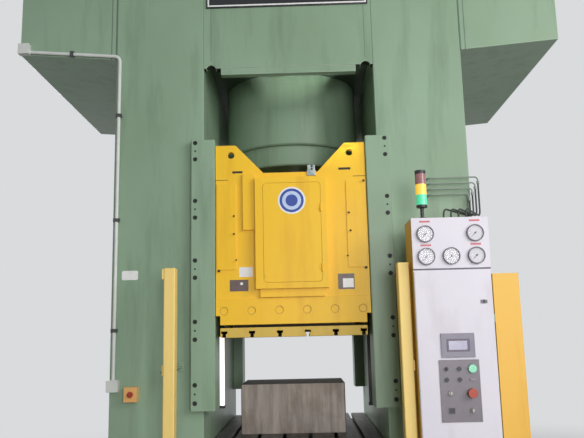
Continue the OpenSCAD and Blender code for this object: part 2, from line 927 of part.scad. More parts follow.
module gland_ring() {
  color(green) rotate_extrude() polygon([
    [rod_r + seal_gap, barrel_low - gland_h], [gland_r - 2 * edge_c, barrel_low - gland_h],
    [gland_r, barrel_low - gland_h + 2 * edge_c], [gland_r, barrel_low], [rod_r + seal_gap, barrel_low]
  ]);
}

// Calls its child at each screw group of the front right gib
module at_screw_groups() {
  for (i = [0 : screw_groups - 1])
    translate([col_in + screw_x, front_y, gib_low + screw_first + i * screw_pitch]) children();
}

// Holes for one screw group in a gib's flange
module screw_holes() {
  for (z = [-screw_pair / 2, screw_pair / 2]) {
    bar_y(0, -gib_t - eps, eps, z, screw_r + screw_gap);
    bar_y(0, -gib_t - eps, -gib_t + screw_head_h + screw_gap, z, screw_head_r + screw_gap);
  }
  bar_y(0, -gib_t - eps, eps, 0, set_screw_r + screw_gap);
}

// One screw group: two cap screws and a set screw between them
module screw_group() {
  head_y = -gib_t + screw_gap;
  for (z = [-screw_pair / 2, screw_pair / 2]) difference() {
    union() {
      bar_y(0, head_y, head_y + screw_head_h, z, screw_head_r);
      bar_y(0, head_y, 0, z, screw_r);
    }
    translate([0, head_y - eps, z]) rotate([-90, 0, 0])
      cylinder(h = socket_d + eps, r = socket_w / 2, $fn = 6);
  }
  bar_y(0, -gib_t + 2 * screw_gap, 0, 0, set_screw_r);
}

// The front right gib: a flange on the column and a leg inside the window
module gib() {
  difference() {
    translate([0, 0, gib_low]) linear_extrude(gib_len) polygon([
      [gib_in + edge_c, front_y - gib_t], [gib_out - edge_c, front_y - gib_t],
      [gib_out, front_y - gib_t + edge_c], [gib_out, front_y], [col_in, front_y],
      [col_in, front_y + gib_leg_d], [gib_in, front_y + gib_leg_d], [gib_in, front_y - gib_t + edge_c]
    ]);
    at_screw_groups() screw_holes();
  }
}

// The two gibs on the frame's front
module gib_pair() {
  gib();
  mirror([1, 0, 0]) gib();
}

module front_gibs() {
  color(green) gib_pair();
}

module rear_gibs() {
  color(green) mirror([0, 1, 0]) gib_pair();
}

module gib_screws() {
  color(dark) for (s = [-1, 1]) at_end(s) {
    at_screw_groups() screw_group();
    mirror([1, 0, 0]) at_screw_groups() screw_group();
  }
}

// A saddle of width w that holds a conduit along Z on the face behind it
module saddle(w) {
  difference() {
    block(-w / 2, w / 2, -conduit_r - saddle_wall, conduit_r + conduit_gap, -conduit_r, conduit_r);
    bar_z(0, 0, -w, w, conduit_r + saddle_gap);
  }
}

// Conduit from the wing's end down the column to its junction box, with its saddles
module conduit() {
  run = (run_start - run_stop) / cos(wing_tilt);
  reach = 2 * conduit_r;
  color(pale) {
    bar_z(conduit_x, conduit_y, jbox_top, run_bend_z, conduit_r);
    translate([conduit_x - conduit_bend, conduit_y, run_bend_z]) rotate([90, 0, 0])
      rotate_extrude(angle = 90 - wing_tilt) translate([conduit_bend, 0]) circle(conduit_r);
    difference() {
      translate([run_start, conduit_y, run_z(run_start)]) rotate([0, wing_tilt, 0])
        bar_x(-run - conduit_r, 0, 0, 0, conduit_r);
      block(run_stop - reach, run_stop, conduit_y - reach, conduit_y + reach,
            run_z(run_stop) - reach, run_z(run_stop) + reach);
    }
    translate([run_start, conduit_y, run_z(run_start)]) rotate([0, wing_tilt, 0])
      translate([-run / 2, 0, 0]) rotate([0, 90, 0]) saddle(saddle_w);
    for (i = [0 : 2]) translate([conduit_x, conduit_y, jbox_top + saddle_first + i * saddle_pitch])
      saddle(saddle_w);
  }
}

// The boxes at both ends of the conduit
module junction_boxes() {
  color(pale) {
    block(wing_end, run_stop, front_y - jbox_d, front_y,
          run_z(run_stop) - jbox_w / 4, run_z(run_stop) + jbox_w * 3 / 4);
    block(conduit_x - jbox_w / 2, conduit_x + jbox_w / 2, front_y - jbox_d, front_y,
          jbox_z, jbox_top);
  }
}

module isolator_box() {
  color(yellow) difference() {
    block(isolator_x - isolator_w / 2, isolator_x + isolator_w / 2, front_y - isolator_d, front_y,
          isolator_mid - isolator_h / 2, isolator_mid + isolator_h / 2);
    bar_y(isolator_x, front_y - isolator_d - eps, front_y - isolator_d + shank_l, isolator_mid,
          shank_r + control_gap);
  }
}

// A turned knob with a grip bar, its back at y = 0 and its axis along Y
module grip_knob(r, h, grip) {
  bar_y(0, -h / 2, 0, 0, r);
  block(-grip / 2, grip / 2, -h, -h / 2 + eps, -r * 0.92, r * 0.92);
}

module isolator_knob() {
  color("#C8402A") translate([isolator_x, front_y - isolator_d - control_gap, isolator_mid]) {
    grip_knob(knob_r, knob_h, knob_r / 2);
    bar_y(0, -eps, shank_l - control_gap, 0, shank_r);
  }
}

// A light curtain post on its foot plate, about its own middle
module curtain_post() {
  upright_box(-post_w / 2, post_w / 2, -post_d / 2, post_d / 2, post_foot_t - eps, post_h, edge_c);
  block(-post_w / 2, post_w / 2, -post_d / 2 - post_toe, post_d / 2 + post_toe, 0, post_foot_t);
}

module curtain_posts() {
  color(yellow) for (x = [-(col_in + post_left), col_in + post_right])
    translate([x, post_y, 0]) curtain_post();
}

// A square arm with a thicker plate at each end, along Y from y0 to y1
module arm_y(x, y0, y1, z) {
  half = arm_t / 2;
  pad = arm_t / 4;
  block(x - half / 2, x + half / 2, y0, y1, z - half / 2, z + half / 2);
  for (y = [y0, y1 - pad]) block(x - half, x + half, y, y + pad, z - arm_t, z + arm_t);
}

// A square arm with a plate at each end, along X from x0 to x1
module arm_x(x0, x1, y, z) {
  half = arm_t / 2;
  pad = arm_t / 4;
  block(x0, x1, y - half / 2, y + half / 2, z - half / 2, z + half / 2);
  for (x = [x0, x1 - pad]) block(x, x + pad, y - half, y + half, z - arm_t, z + arm_t);
}

// Arms that hold the posts, the cabinet and the side guard on the frame
module stand_off_arms() {
  guard_y = front_y + arm_t / 2;
  color(green) {
    for (z = [arm_z_low, arm_z_high]) {
      arm_y(-(col_in + post_left), post_rear, front_y, z);
      arm_y(right_arm_x, post_rear, front_y, z);
    }
    for (x = [cab_left + arm_t * 3, cab_right - arm_t * 3]) arm_y(x, cab_back, front_y, cab_h - arm_z_low);
    for (z = [foot_t + gusset_h, guard_arm_z]) arm_x(col_out, guard_left, guard_y, z);
  }
}

// A folded steel guard panel that stands on the foot flange beside the right column
module side_guard() {
  color(yellow) difference() {
    block(guard_left, guard_left + guard_w, front_y, front_y + guard_t, foot_t, guard_h);
    block(guard_left + guard_fold, guard_left + guard_w - guard_fold, front_y + guard_wall,
          front_y + guard_t + eps, foot_t + guard_foot, guard_h - guard_fold);
  }
}

// A tube lamp between two holders on the right column's inner side
module work_lamp() {
  r = tube_r + holder_wall;
  bar_z(tube_x, tube_y, tube_z, tube_z + tube_l, tube_r);
  for (z = [[tube_z - holder_low_h, tube_z], [tube_z + tube_l, tube_z + tube_l + holder_h]])
    block(tube_x - r, col_in, tube_y - r, tube_y + r, z[0], z[1]);
}

module work_lamps() {
  color("white") {
    work_lamp();
    mirror([1, 0, 0]) work_lamp();
  }
}

// The cabinet's housing: a sheet box with a front opening, a plinth and two pivot lugs
module cabinet() {
  color(yellow) {
    difference() {
      block(cab_left, cab_right, cab_front, cab_back, 0, cab_h);
      block(cab_left + cab_wall, cab_right - cab_wall, cab_front + cab_wall, cab_back - cab_wall,
            plinth_h, cab_h - cab_wall);
      block(cab_left + cab_lip, cab_right - cab_lip, cab_front - eps, cab_front + cab_wall + eps,
            plinth_h + cab_lip, cab_h - cab_lip);
      block(cab_left + cab_wall, cab_right - cab_wall, cab_front + 2 * cab_wall, cab_back - cab_wall,
            -eps, plinth_h - cab_wall);
    }
    for (z = [plinth_h, cab_h - lug_h])
      block(cab_left, pivot_x + pivot_r * 2, cab_door_face + eps, cab_front, z, z + lug_h);
    bar_z(pivot_x, pivot_y, plinth_h + lug_h - eps, cab_door_low + pivot_r * 3, pivot_r);
    bar_z(pivot_x, pivot_y, cab_door_top - pivot_r * 3, cab_h - lug_h + eps, pivot_r);
  }
}

// Plate with the switchgear, held on four studs inside the cabinet
module mounting_plate() {
  x0 = cab_left + cab_wall + gear_inset;
  x1 = cab_right - cab_wall - gear_inset;
  z0 = plinth_h + 2 * gear_inset;
  z1 = cab_h - cab_wall - 2 * gear_inset;
  y1 = cab_back - cab_wall - gear_stud;
  face = y1 - gear_plate_t;
  gear_space = gear_inset / 2;
  gear_step = (x1 - x0 - gear_space) / gear_count;
  row_step = (z1 - z0) / gear_rows;
  color(steel) {
    block(x0, x1, face, y1, z0, z1);
    for (x = [x0 + gear_inset, x1 - gear_inset], z = [z0 + gear_inset, z1 - gear_inset])
      bar_y(x, y1 - eps, cab_back - cab_wall, z, gear_stud_r);
    for (row = [0 : gear_rows - 1]) translate([x0, 0, z0 + (row + 1 / 2) * row_step]) {
      for (i = [0 : gear_count - 1])
        block(gear_space + i * gear_step, (i + 1) * gear_step, face - gear_d, face + eps, -gear_h, 0);
      block(gear_space, x1 - x0 - gear_space, face - duct_d, face + eps, duct_h, 2 * duct_h);
    }
  }
}

module gauge_box() {
  color(pale) block(cab_left, cab_right, gauge_box_face, gauge_box_face + gauge_box_d, cab_h, box_top);
}

// One gauge case with a sunk dial, about its own middle, its back at y = 0
module gauge_case() {
  difference() {
    bar_y(0, -gauge_out, 0, 0, gauge_r);
    bar_y(0, -gauge_out - eps, -gauge_out + dial_d, 0, gauge_r - rim_w);
  }
}

module gauge_cases() {
  color(dark) for (g = gauges) translate([g[0], gauge_box_face, g[1]]) gauge_case();
}

// A needle that lies from lower left to upper right, at its place on gauge i
module needle(i) {
  g = gauges[i];
  color(dark) translate([g[0], dial_y - needle_gap, g[1]]) rotate([0, -135, 0]) {
    bar_y(0, -2 * needle_t, 0, 0, needle_hub_r);
    rotate([90, 0, 0]) linear_extrude(needle_t) polygon([
      [-needle_w / 2, -needle_l / 3], [needle_w / 2, -needle_l / 3], [needle_w / 3, needle_l * 2 / 3],
      [0, needle_l], [-needle_w / 3, needle_l * 2 / 3]
    ]);
  }
}

module signal_base() {
  color(dark) {
    bar_z(tower_x, tower_y, box_top, box_top + tower_flange, lamp_r);
    bar_z(tower_x, tower_y, box_top, lamp_z - tower_flange + eps, pole_r);
    bar_z(tower_x, tower_y, lamp_z - tower_flange, lamp_z, lamp_r);
    bar_z(tower_x, tower_y, lamp_z + 3 * lamp_h, lamp_z + 3 * lamp_h + tower_cap, lamp_r);
  }
}

// One lamp of the tower, counted from below
module signal_lamp(i) {
  bar_z(tower_x, tower_y, lamp_z + i * lamp_h, lamp_z + (i + 1) * lamp_h, lamp_r);
}

module signal_green() {
  color("#2FB487") signal_lamp(0);
}

module signal_amber() {
  color("#F5C53C") signal_lamp(1);
}

module signal_red() {
  color("#A0504E") signal_lamp(2);
}

// Motor and pump on one foot plate on the frame's top
module pump_motor() {
  foot = motor_r * 1.6;
  y1 = motor_y + motor_l;
  color("#5F7A8C") {
    bar_y(motor_x, motor_y, y1, motor_z, motor_r);
    bar_y(motor_x, motor_y - pump_l, motor_y + eps, motor_z, pump_r);
    bar_y(motor_x, motor_y - pump_l / 5, motor_y + eps, motor_z, pump_r * 1.45);
    block(motor_x - port_x, motor_x + port_x, pipe_y - suction_r * 1.3, pipe_y + suction_r * 1.3,
          motor_z - suction_r * 1.3, motor_z + suction_r * 1.3);
    block(motor_x - foot / 2, motor_x + foot / 2, motor_y + motor_lift, y1 - motor_lift, frame_h, motor_z);
    block(motor_x + motor_r * 0.5, motor_x + motor_r * 1.25, motor_y + motor_l * 0.4,
          motor_y + motor_l * 0.7, motor_z, motor_z + motor_r * 0.7);
  }
}

module valve_block() {
  half = valve_w / 2;
  color("#6E7377") {
    block(-half, half, -half, half, valve_low, valve_low + valve_h);
    for (x = [-half / 2, half / 2]) {
      block(x - coil_w / 2, x + coil_w / 2, -half - coil_l, -half + eps,
            valve_low + valve_h / 2, valve_low + valve_h / 2 + coil_w);
      bar_z(x, half / 3, valve_low + valve_h - eps, valve_low + valve_h + pilot_h, pilot_r);
    }
  }
}

// A pressure pipe from the pump to the valve block and a suction pipe from the wing
module feed_pipes() {
  suction_x = col_out + wing_w / 3;
  bend_x = suction_x - feed_bend;
  bend_z = motor_z - feed_bend;
  color("#8A8F93") {
    bar_x(valve_w / 2, motor_x - port_x, pipe_y, motor_z, pressure_r);
    bar_x(valve_w / 2, valve_w / 2 + pipe_flange_t, pipe_y, motor_z, pressure_r * 1.8);
    bar_x(motor_x + port_x, bend_x, pipe_y, motor_z, suction_r);
    translate([bend_x, pipe_y, bend_z]) rotate([90, 0, 0]) quarter_bend(feed_bend, suction_r);
    bar_z(suction_x, pipe_y, wing_top, bend_z, suction_r);
    bar_z(suction_x, pipe_y, wing_top, wing_top + pipe_flange_t, suction_r * 1.6);
  }
}

// Steel gauge lines on the right column, each with a bulkhead nut and a union
module gauge_lines() {
  color("#6F7F76") for (i = [0 : line_count - 1]) {
    z0 = line_z + i * line_pitch;
    bar_y(line_x0, line_y + line_bend, front_y, z0, line_r);
    bar_y(line_x0, front_y - line_nut, front_y, z0, line_r * 2);
    translate([line_x0 + line_bend, line_y + line_bend, z0]) rotate([0, 0, 180])
      quarter_bend(line_bend, line_r);
    bar_x(line_x0 + line_bend, line_x1(i) - line_bend, line_y, z0, line_r);
    translate([line_x1(i) - line_bend, line_y, z0 - line_bend]) rotate([90, 0, 0])
      quarter_bend(line_bend, line_r);
    bar_z(line_x1(i), line_y, union_z(i) + union_h, z0 - line_bend, line_r);
    translate([line_x1(i), line_y, union_z(i)]) cylinder(h = union_h, r = line_r * 2, $fn = 6);
  }
}

// Hoses from the gauge lines' unions down to the gauge box
module gauge_hoses() {
  end_y = gauge_box_face + gauge_box_d / 2;
  z_run = box_top + hose_rise;
  hose_r = line_r + hose_wall;
  color(dark) for (i = [0 : line_count - 1]) {
    end_x = cab_left + hose_x + i * hose_pitch;
    run = norm([end_x - line_x1(i), end_y - line_y]);
    translate([line_x1(i), line_y, 0]) rotate([0, 0, atan2(end_y - line_y, end_x - line_x1(i))]) {
      bar_z(0, 0, z_run + hose_bend, union_z(i), hose_r);
      translate([hose_bend, 0, z_run + hose_bend]) rotate([90, 0, 0]) rotate([0, 0, 180])
        quarter_bend(hose_bend, hose_r);
      bar_x(hose_bend, run - hose_bend, 0, z_run, hose_r);
      translate([run - hose_bend, 0, z_run - hose_bend]) rotate([90, 0, 0])
        quarter_bend(hose_bend, hose_r);
      bar_z(run, 0, box_top, z_run - hose_bend, hose_r);
      bar_z(run, 0, box_top, box_top + line_nut, line_r * 2);
    }
  }
}

// Space behind the hatch door, used to cut the pocket
module hatch_pocket(y0, y1) {
  block(door_left + door_lap, door_right - door_lap, y0, y1,
        door_low + door_lap, door_low + door_h - pocket_top);
}

module ram_body() {
  color(yellow) difference() {
    block(-ram_x, ram_x, -ram_y, ram_y, ram_z, ram_top);
    hatch_pocket(-ram_y - eps, -ram_y + pocket_d);
  }
}

// Outline of the ram's plates: a bare foot, ears and a notch for the cylinder
module plate_outline() {
  polygon([
    [-ram_x, 0], [ram_x, 0], [ram_x, ram_bare_h], [plate_x, ram_bare_h], [plate_x, ear_z],
    [plate_x - ear_w, ear_z], [notch_w, notch_z], [-notch_w, notch_z],
    [-plate_x + ear_w, ear_z], [-plate_x, ear_z], [-plate_x, ram_bare_h], [-ram_x, ram_bare_h]
  ]);
}

// One of the ram's plates, on the front, with its band, recesses and lifting holes
module ram_plate() {
  y_face = -plate_y - band_out;
  difference() {
    union() {
      translate([0, -ram_y, ram_z]) rotate([90, 0, 0]) linear_extrude(ram_plate_t) plate_outline();
      block(-ram_x, ram_x, y_face, -plate_y + eps, ram_z, ram_z + ram_bare_h);
      block(-plate_x, plate_x, y_face, -plate_y + eps, ram_z + ram_bare_h, ram_z + band_h);
    }
    for (i = [0 : slot_count - 1])
      bar_y((i - (slot_count - 1) / 2) * slot_pitch, y_face - eps, y_face + plug_d,
            ram_z + plug_z, plug_r);
    for (s = [-1, 1]) bar_y(s * (plate_x - ear_hole_in), y_face - eps, -ram_y + eps,
                            ram_z + ear_z - ear_hole_drop, ear_hole_r);
  }
}

module ram_front_plate() {
  color(yellow) difference() {
    ram_plate();
    hatch_pocket(-plate_y - band_out - eps, -ram_y + eps);
  }
}

module ram_rear_plate() {
  color(yellow) mirror([0, 1, 0]) ram_plate();
}

module tslot_plate() {
  color(yellow) difference() {
    union() {
      block(-ram_x, ram_x, -plate_y, plate_y, ram_low, groove_z);
      block(-ram_x + groove_d, ram_x - groove_d, -plate_y + groove_d, plate_y - groove_d,
            groove_z - eps, ram_z);
    }
    translate([0, 0, ram_low])
      tslots(2 * plate_y, ram_slot_w, ram_slot_head, ram_slot_head_h, ram_slot_lip);
  }
}

// Four guide strips on the corners of the ram's body
module guide_strips() {
  y0 = front_y + ram_inset;
  color(bronze) for (sx = [0, 1], sy = [0, 1]) mirror([sx, 0, 0]) mirror([0, sy, 0])
    block(ram_x, strip_x, y0, front_y + gib_leg_d - ram_inset, ram_z + ram_bare_h, ram_top);
}

// The rod with its flange on the ram and the piston in the bore
module piston_rod() {
  color("#B9BCC0") rotate_extrude() polygon([
    [0, ram_top], [rod_flange_r, ram_top], [rod_flange_r, ram_top + rod_flange_h],
    [rod_r, ram_top + rod_flange_h], [rod_r, piston_top - piston_h],
    [bore_r - seal_gap, piston_top - piston_h], [bore_r - seal_gap, piston_top], [0, piston_top]
  ]);
}

// The hatch door's round-cornered slab from y0 to y1, grown by g on every side
module door_slab(y0, y1, g) {
  x0 = door_left - g;
  x1 = door_right + g;
  z0 = door_low - g;
  z1 = door_low + door_h + g;
  r = door_r + g;
  block(x0 + r, x1 - r, y0, y1, z0, z1);
  block(x0, x1, y0, y1, z0 + r, z1 - r);
  for (x = [x0 + r, x1 - r], z = [z0 + r, z1 - r]) bar_y(x, y0, y1, z, r);
}

// Two knuckles, their leaf and the pin of one hinge, with the leaf towards +X
module hinge_fixed() {
  span = 3 * knuckle_l + 2 * knuckle_gap;
  for (z = [-span / 2, span / 2 - knuckle_l]) {
    bar_z(0, 0, z, z + knuckle_l, knuckle_r);
    block(0, leaf_w, knuckle_r + control_gap - leaf_t, knuckle_r + control_gap, z, z + knuckle_l);
  }
  bar_z(0, 0, -span / 2, span / 2, pin_r);
}

// The middle knuckle of one hinge, with the leaf towards -X
module hinge_moving() {
  difference() {
    union() {
      bar_z(0, 0, -knuckle_l / 2, knuckle_l / 2, knuckle_r);
      block(-leaf_w, 0, knuckle_r + control_gap - leaf_t, knuckle_r + control_gap,
            -knuckle_l / 2, knuckle_l / 2);
    }
    bar_z(0, 0, -knuckle_l, knuckle_l, pin_r + pin_gap);
  }
}

// Raised frame round the hatch, with the rebate for its door and a ledge below
module hatch_frame() {
  color(yellow) {
    difference() {
      union() {
        block(hatch_left, hatch_left + hatch_w, hatch_face, -plate_y, hatch_low, hatch_low + hatch_h);
        block(hatch_left + ledge_h / 2, hatch_left + hatch_w - ledge_h / 2,
              -plate_y - ledge_out, -plate_y, hatch_low - ledge_h, hatch_low + eps);
      }
      hatch_pocket(hatch_face - eps, -plate_y + eps);
      door_slab(hatch_face - eps, hatch_face + door_t + control_gap, door_gap);
    }
    for (z = hinge_z) translate([hatch_pin_x, hatch_pin_y, z]) hinge_fixed();
  }
}

module hatch_door() {
  color(yellow) {
    door_slab(hatch_face, hatch_face + door_t, 0);
    for (z = hinge_z) translate([hatch_pin_x, hatch_pin_y, z]) hinge_moving();
    bar_y(door_left + latch_x, hatch_face - latch_out, hatch_face + eps, door_low + latch_z, latch_r);
  }
}

// Two side covers and the narrow pipe cover beside the hatch
module side_covers() {
  x1 = plate_x - cover_in;
  z0 = ram_z + cover_z;
  pipe_x = hatch_left - pipe_cover_gap;
  color(yellow) {
    for (s = [0, 1]) mirror([s, 0, 0])
      block(x1 - cover_w, x1, -plate_y - cover_t, -plate_y, z0, z0 + cover_h);
    block(pipe_x - pipe_cover_w, pipe_x, -plate_y - pipe_cover_t, -plate_y,
          ram_z + pipe_cover_z, ram_z + pipe_cover_z + pipe_cover_h);
  }
}

// The cabinet's door: a folded tray whose left edge is round about its pivots
module cabinet_door() {
  x1 = cab_right - 2 * cab_door_gap;
  lock_face = cab_door_face - lock_plate_t;
  color(pale) difference() {
    union() {
      block(pivot_x, x1, cab_door_face, cab_door_back, cab_door_low, cab_door_top);
      bar_z(pivot_x, pivot_y, cab_door_low, cab_door_top, cab_door_t / 2);
      block(lock_x - lock_plate_w / 2, lock_x + lock_plate_w / 2, lock_face, cab_door_face + eps,
            lock_z - lock_plate_h / 2, lock_z + lock_plate_h / 2);
    }
    for (z = [[cab_door_low + cab_fold, lock_z - lock_plate_w],
              [lock_z + lock_plate_w, cab_door_top - cab_fold]])
      block(pivot_x + cab_fold, x1 - cab_fold, cab_door_face + cab_skin, cab_door_back + eps, z[0], z[1]);
    bar_y(lock_x, lock_face - eps, cab_door_face + lock_d + eps, lock_z, lock_r + control_gap);
    for (z = [cab_door_low - eps, cab_door_top - pivot_r * 4])
      bar_z(pivot_x, pivot_y, z, z + pivot_r * 4 + eps, pivot_r + pin_gap);
  }
}

module screen_unit() {
  x0 = panel_mid - hmi_w / 2;
  y0 = cab_door_face - hmi_t;
  z_mid = hmi_low + hmi_h / 2;
  color("#8A8594") difference() {
    block(x0, x0 + hmi_w, y0, cab_door_face, hmi_low, hmi_low + hmi_h);
    block(panel_mid - screen_w / 2, panel_mid + screen_w / 2, y0 - eps, y0 + screen_d,
          z_mid - screen_h / 2, z_mid + screen_h / 2);
  }
}

// A fixed collar round a control at column c and height z
module collar(c, z, r) {
  translate([panel_mid + c * control_dx, panel_face, z]) difference() {
    bar_y(0, -collar_h, eps, 0, r + control_gap + collar_t);
    bar_y(0, -collar_h - eps, 2 * eps, 0, r + control_gap);
  }
}

// The operator panel with its collars and socket
module operator_panel() {
  color("#8C878B") {
    block(panel_mid - panel_w / 2, panel_mid + panel_w / 2, panel_face, cab_door_face,
          panel_z, panel_z + panel_h);
    collar(-1, row_top, button_r);
    collar(0, row_top, button_r);
    collar(1, row_top, start_r);
    collar(-1, row_two, button_r);
    collar(0, row_two, button_r);
    collar(key_col, row_three, button_r);
    collar(stop_col, row_three, button_r);
    collar(switch_col, row_four, button_r);
    translate([panel_mid + socket_col * control_dx, panel_face, row_four])
      block(-outlet_w / 2, outlet_w / 2, -collar_h, eps, -outlet_w / 2, outlet_w / 2);
  }
}

// A round cap that slides in a collar, its back clear of the panel
module button_cap(c, z, r) {
  bar_y(panel_mid + c * control_dx, button_back - cap_t, button_back, z, r);
}

module start_button() {
  color("#4FC79B") button_cap(1, row_top, start_r);
}

module push_button_1() {
  color(dark) button_cap(0, row_top, button_r);
}

module push_button_2() {
  color(dark) button_cap(-1, row_two, button_r);
}

module push_button_3() {
  color(dark) button_cap(0, row_two, button_r);
}

// A mushroom head on a stem in its collar
module emergency_stop() {
  x = panel_mid + stop_col * control_dx;
  head_back = button_back - cap_t - stop_neck;
  color("#D2452F") {
    bar_y(x, head_back - eps, button_back, row_three, button_r);
    bar_y(x, head_back - stop_t, head_back, row_three, stop_r);
  }
}

// A turned control in a collar: a disc with a grip bar
module turn_control(c, z, grip) {
  translate([panel_mid + c * control_dx, panel_face - control_gap, z]) {
    bar_y(0, -cap_t, 0, 0, button_r);
    block(-grip / 2, grip / 2, -cap_t - grip_h, -cap_t + eps, -button_r + eps, button_r - eps);
  }
}

module selector_1() {
  color(dark) turn_control(-1, row_top, button_r / 2);
}

module selector_2() {
  color("#A9A7A2") turn_control(switch_col, row_four, button_r * 0.8);
}

// The key switch: a core in its collar with the key left in it
module key_switch() {
  color("#B8B6B0") turn_control(key_col, row_three, key_t);
}

// The door lock's core, sunk in the door, with a two-bit stub
module door_lock() {
  color(dark) translate([lock_x, cab_door_face, lock_z]) {
    bar_y(0, -lock_out, lock_d, 0, lock_r);
    block(-key_t / 2, key_t / 2, -lock_out - key_t, -lock_out + eps, -lock_r + eps, lock_r - eps);
  }
}

left_column();
right_column();
crown();
bed();
side_wings();
sign_board();
bolster_plate();
riser_block();
main_cylinder();
gland_ring();
front_gibs();
rear_gibs();
gib_screws();
conduit();
junction_boxes();
isolator_box();
isolator_knob();
curtain_posts();
stand_off_arms();
side_guard();
work_lamps();
cabinet();
mounting_plate();
gauge_box();
gauge_cases();
signal_base();
signal_green();
signal_amber();
signal_red();
pump_motor();
valve_block();
feed_pipes();
gauge_lines();
gauge_hoses();
ram_body();
ram_front_plate();
ram_rear_plate();
tslot_plate();
guide_strips();
piston_rod();
hatch_frame();
side_covers();
hatch_door();
cabinet_door();
screen_unit();
operator_panel();
door_lock();
start_button();
emergency_stop();
push_button_1();
push_button_2();
push_button_3();
selector_1();
selector_2();
key_switch();
needle(0);  // needle_1
needle(1);  // needle_2
needle(2);  // needle_3
needle(3);  // needle_4
needle(4);  // needle_5
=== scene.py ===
"""Looks of a hydraulic stamping press: paint, steel, plastics, gauges, plates and studio light."""
import json
from math import cos, pi, radians, sin

import bmesh
import bpy
from mathutils import Matrix, Vector


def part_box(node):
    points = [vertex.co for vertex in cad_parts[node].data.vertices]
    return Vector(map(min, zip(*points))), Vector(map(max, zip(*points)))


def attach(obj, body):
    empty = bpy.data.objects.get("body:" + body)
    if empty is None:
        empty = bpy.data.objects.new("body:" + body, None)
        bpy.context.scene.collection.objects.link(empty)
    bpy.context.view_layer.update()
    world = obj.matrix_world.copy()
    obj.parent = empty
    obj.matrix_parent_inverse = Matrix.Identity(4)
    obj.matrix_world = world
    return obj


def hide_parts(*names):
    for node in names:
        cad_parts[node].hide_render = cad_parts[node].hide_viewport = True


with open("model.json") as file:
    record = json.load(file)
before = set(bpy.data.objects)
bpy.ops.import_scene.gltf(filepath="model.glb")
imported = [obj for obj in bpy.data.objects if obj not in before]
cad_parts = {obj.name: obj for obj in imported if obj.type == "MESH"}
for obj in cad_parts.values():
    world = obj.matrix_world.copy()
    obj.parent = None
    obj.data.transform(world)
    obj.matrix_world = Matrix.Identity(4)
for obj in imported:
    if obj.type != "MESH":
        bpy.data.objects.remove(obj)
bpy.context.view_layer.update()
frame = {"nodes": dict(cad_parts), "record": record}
NODES = frame["nodes"]

# The photograph's size in pixels, and the camera as solved from its straight lines
PHOTO = (584, 438)
SENSOR = 36.0
FOCAL_PX = 681.5
EYE = Vector((0.0906, -5.7827, 1.6))
YAW, PITCH, ROLL = -0.0183, 0.172, -0.0227
# Metres to the furthest that the camera draws
FAR = 200


def photo_camera():
    """The camera at the photograph's place, turn and field of view."""
    ahead = Vector((sin(YAW) * cos(PITCH), cos(YAW) * cos(PITCH), sin(PITCH)))
    level = Vector((cos(YAW), -sin(YAW), 0))
    upright = level.cross(ahead)
    right = level * cos(ROLL) + upright * sin(ROLL)
    up = upright * cos(ROLL) - level * sin(ROLL)
    data = bpy.data.cameras.new("photo_camera")
    data.sensor_width = SENSOR
    data.lens = FOCAL_PX * SENSOR / PHOTO[0]
    data.clip_end = FAR
    camera = bpy.data.objects.new("photo_camera", data)
    turn = Matrix((right, up, -ahead)).transposed().to_4x4()
    camera.matrix_world = Matrix.Translation(EYE) @ turn
    bpy.context.scene.collection.objects.link(camera)
    bpy.context.scene.camera = camera


photo_camera()


# Colour and shader tools

def linear(code):
    """An sRGB hex colour as linear red, green, blue and alpha."""
    parts = [int(code[i:i + 2], 16) / 255 for i in (1, 3, 5)]
    return (*[p / 12.92 if p <= 0.04045 else ((p + 0.055) / 1.055) ** 2.4 for p in parts], 1.0)


def add(tree, kind, links=(), values=(), **settings):
    """Adds a node: settings are its properties, values its sockets' values, links their sources."""
    node = tree.nodes.new(kind)
    for key, value in settings.items():
        setattr(node, key, value)
    for key, value in dict(values).items():
        node.inputs[key].default_value = value
    for key, source in dict(links).items():
        tree.links.new(source, node.inputs[key])
    return node


def blank_material(name, roughness=0.5, metallic=0.0, **sockets):
    """A material with its shader, its tree and a coordinate node, ready for a pattern."""
    material = bpy.data.materials.new(name)
    material.use_nodes = True
    tree = material.node_tree
    shader = tree.nodes["Principled BSDF"]
    shader.inputs["Roughness"].default_value = roughness
    shader.inputs["Metallic"].default_value = metallic
    for key, value in sockets.items():
        shader.inputs[key.replace("_", " ")].default_value = value
    place = add(tree, "ShaderNodeTexCoord").outputs["Object"]
    return material, tree, shader, place


def ramp(tree, source, low, high, first, last):
    """Spreads source between low and high over two hex colours."""
    node = add(tree, "ShaderNodeValToRGB", links={"Fac": source})
    points = node.color_ramp.elements
    points[0].position, points[0].color = low, linear(first)
    points[1].position, points[1].color = high, linear(last)
    return node.outputs["Color"]


def cloud(tree, place, size_mm, stretch=(1, 1, 1), detail=4.0, rough=0.55):
    """Noise whose blobs are about size_mm across, stretched along an axis by a factor below 1."""
    moved = add(tree, "ShaderNodeMapping", links={"Vector": place}, values={"Scale": stretch})
    noise = add(tree, "ShaderNodeTexNoise", links={"Vector": moved.outputs["Vector"]},
                values={"Scale": 1000 / size_mm, "Detail": detail, "Roughness": rough})
    return noise.outputs["Fac"]


def blend_colour(tree, share, below, above, mode="MIX"):
    """Colour above over colour below by share."""
    node = add(tree, "ShaderNodeMix", data_type="RGBA", blend_type=mode)
    # Sockets 0, 6 and 7 and output 2 are the ones that the node has for colours
    for socket, source in ((0, share), (6, below), (7, above)):
        if isinstance(source, (int, float, tuple)):
            node.inputs[socket].default_value = source
        else:
            tree.links.new(source, node.inputs[socket])
    return node.outputs[2]


def bump(tree, shader, height, depth_mm, strength):
    """Raises the surface by height, depth_mm at most."""
    node = add(tree, "ShaderNodeBump", links={"Height": height},
               values={"Strength": strength, "Distance": depth_mm / 1000})
    tree.links.new(node.outputs["Normal"], shader.inputs["Normal"])


# Finishes, each named for what the real one is

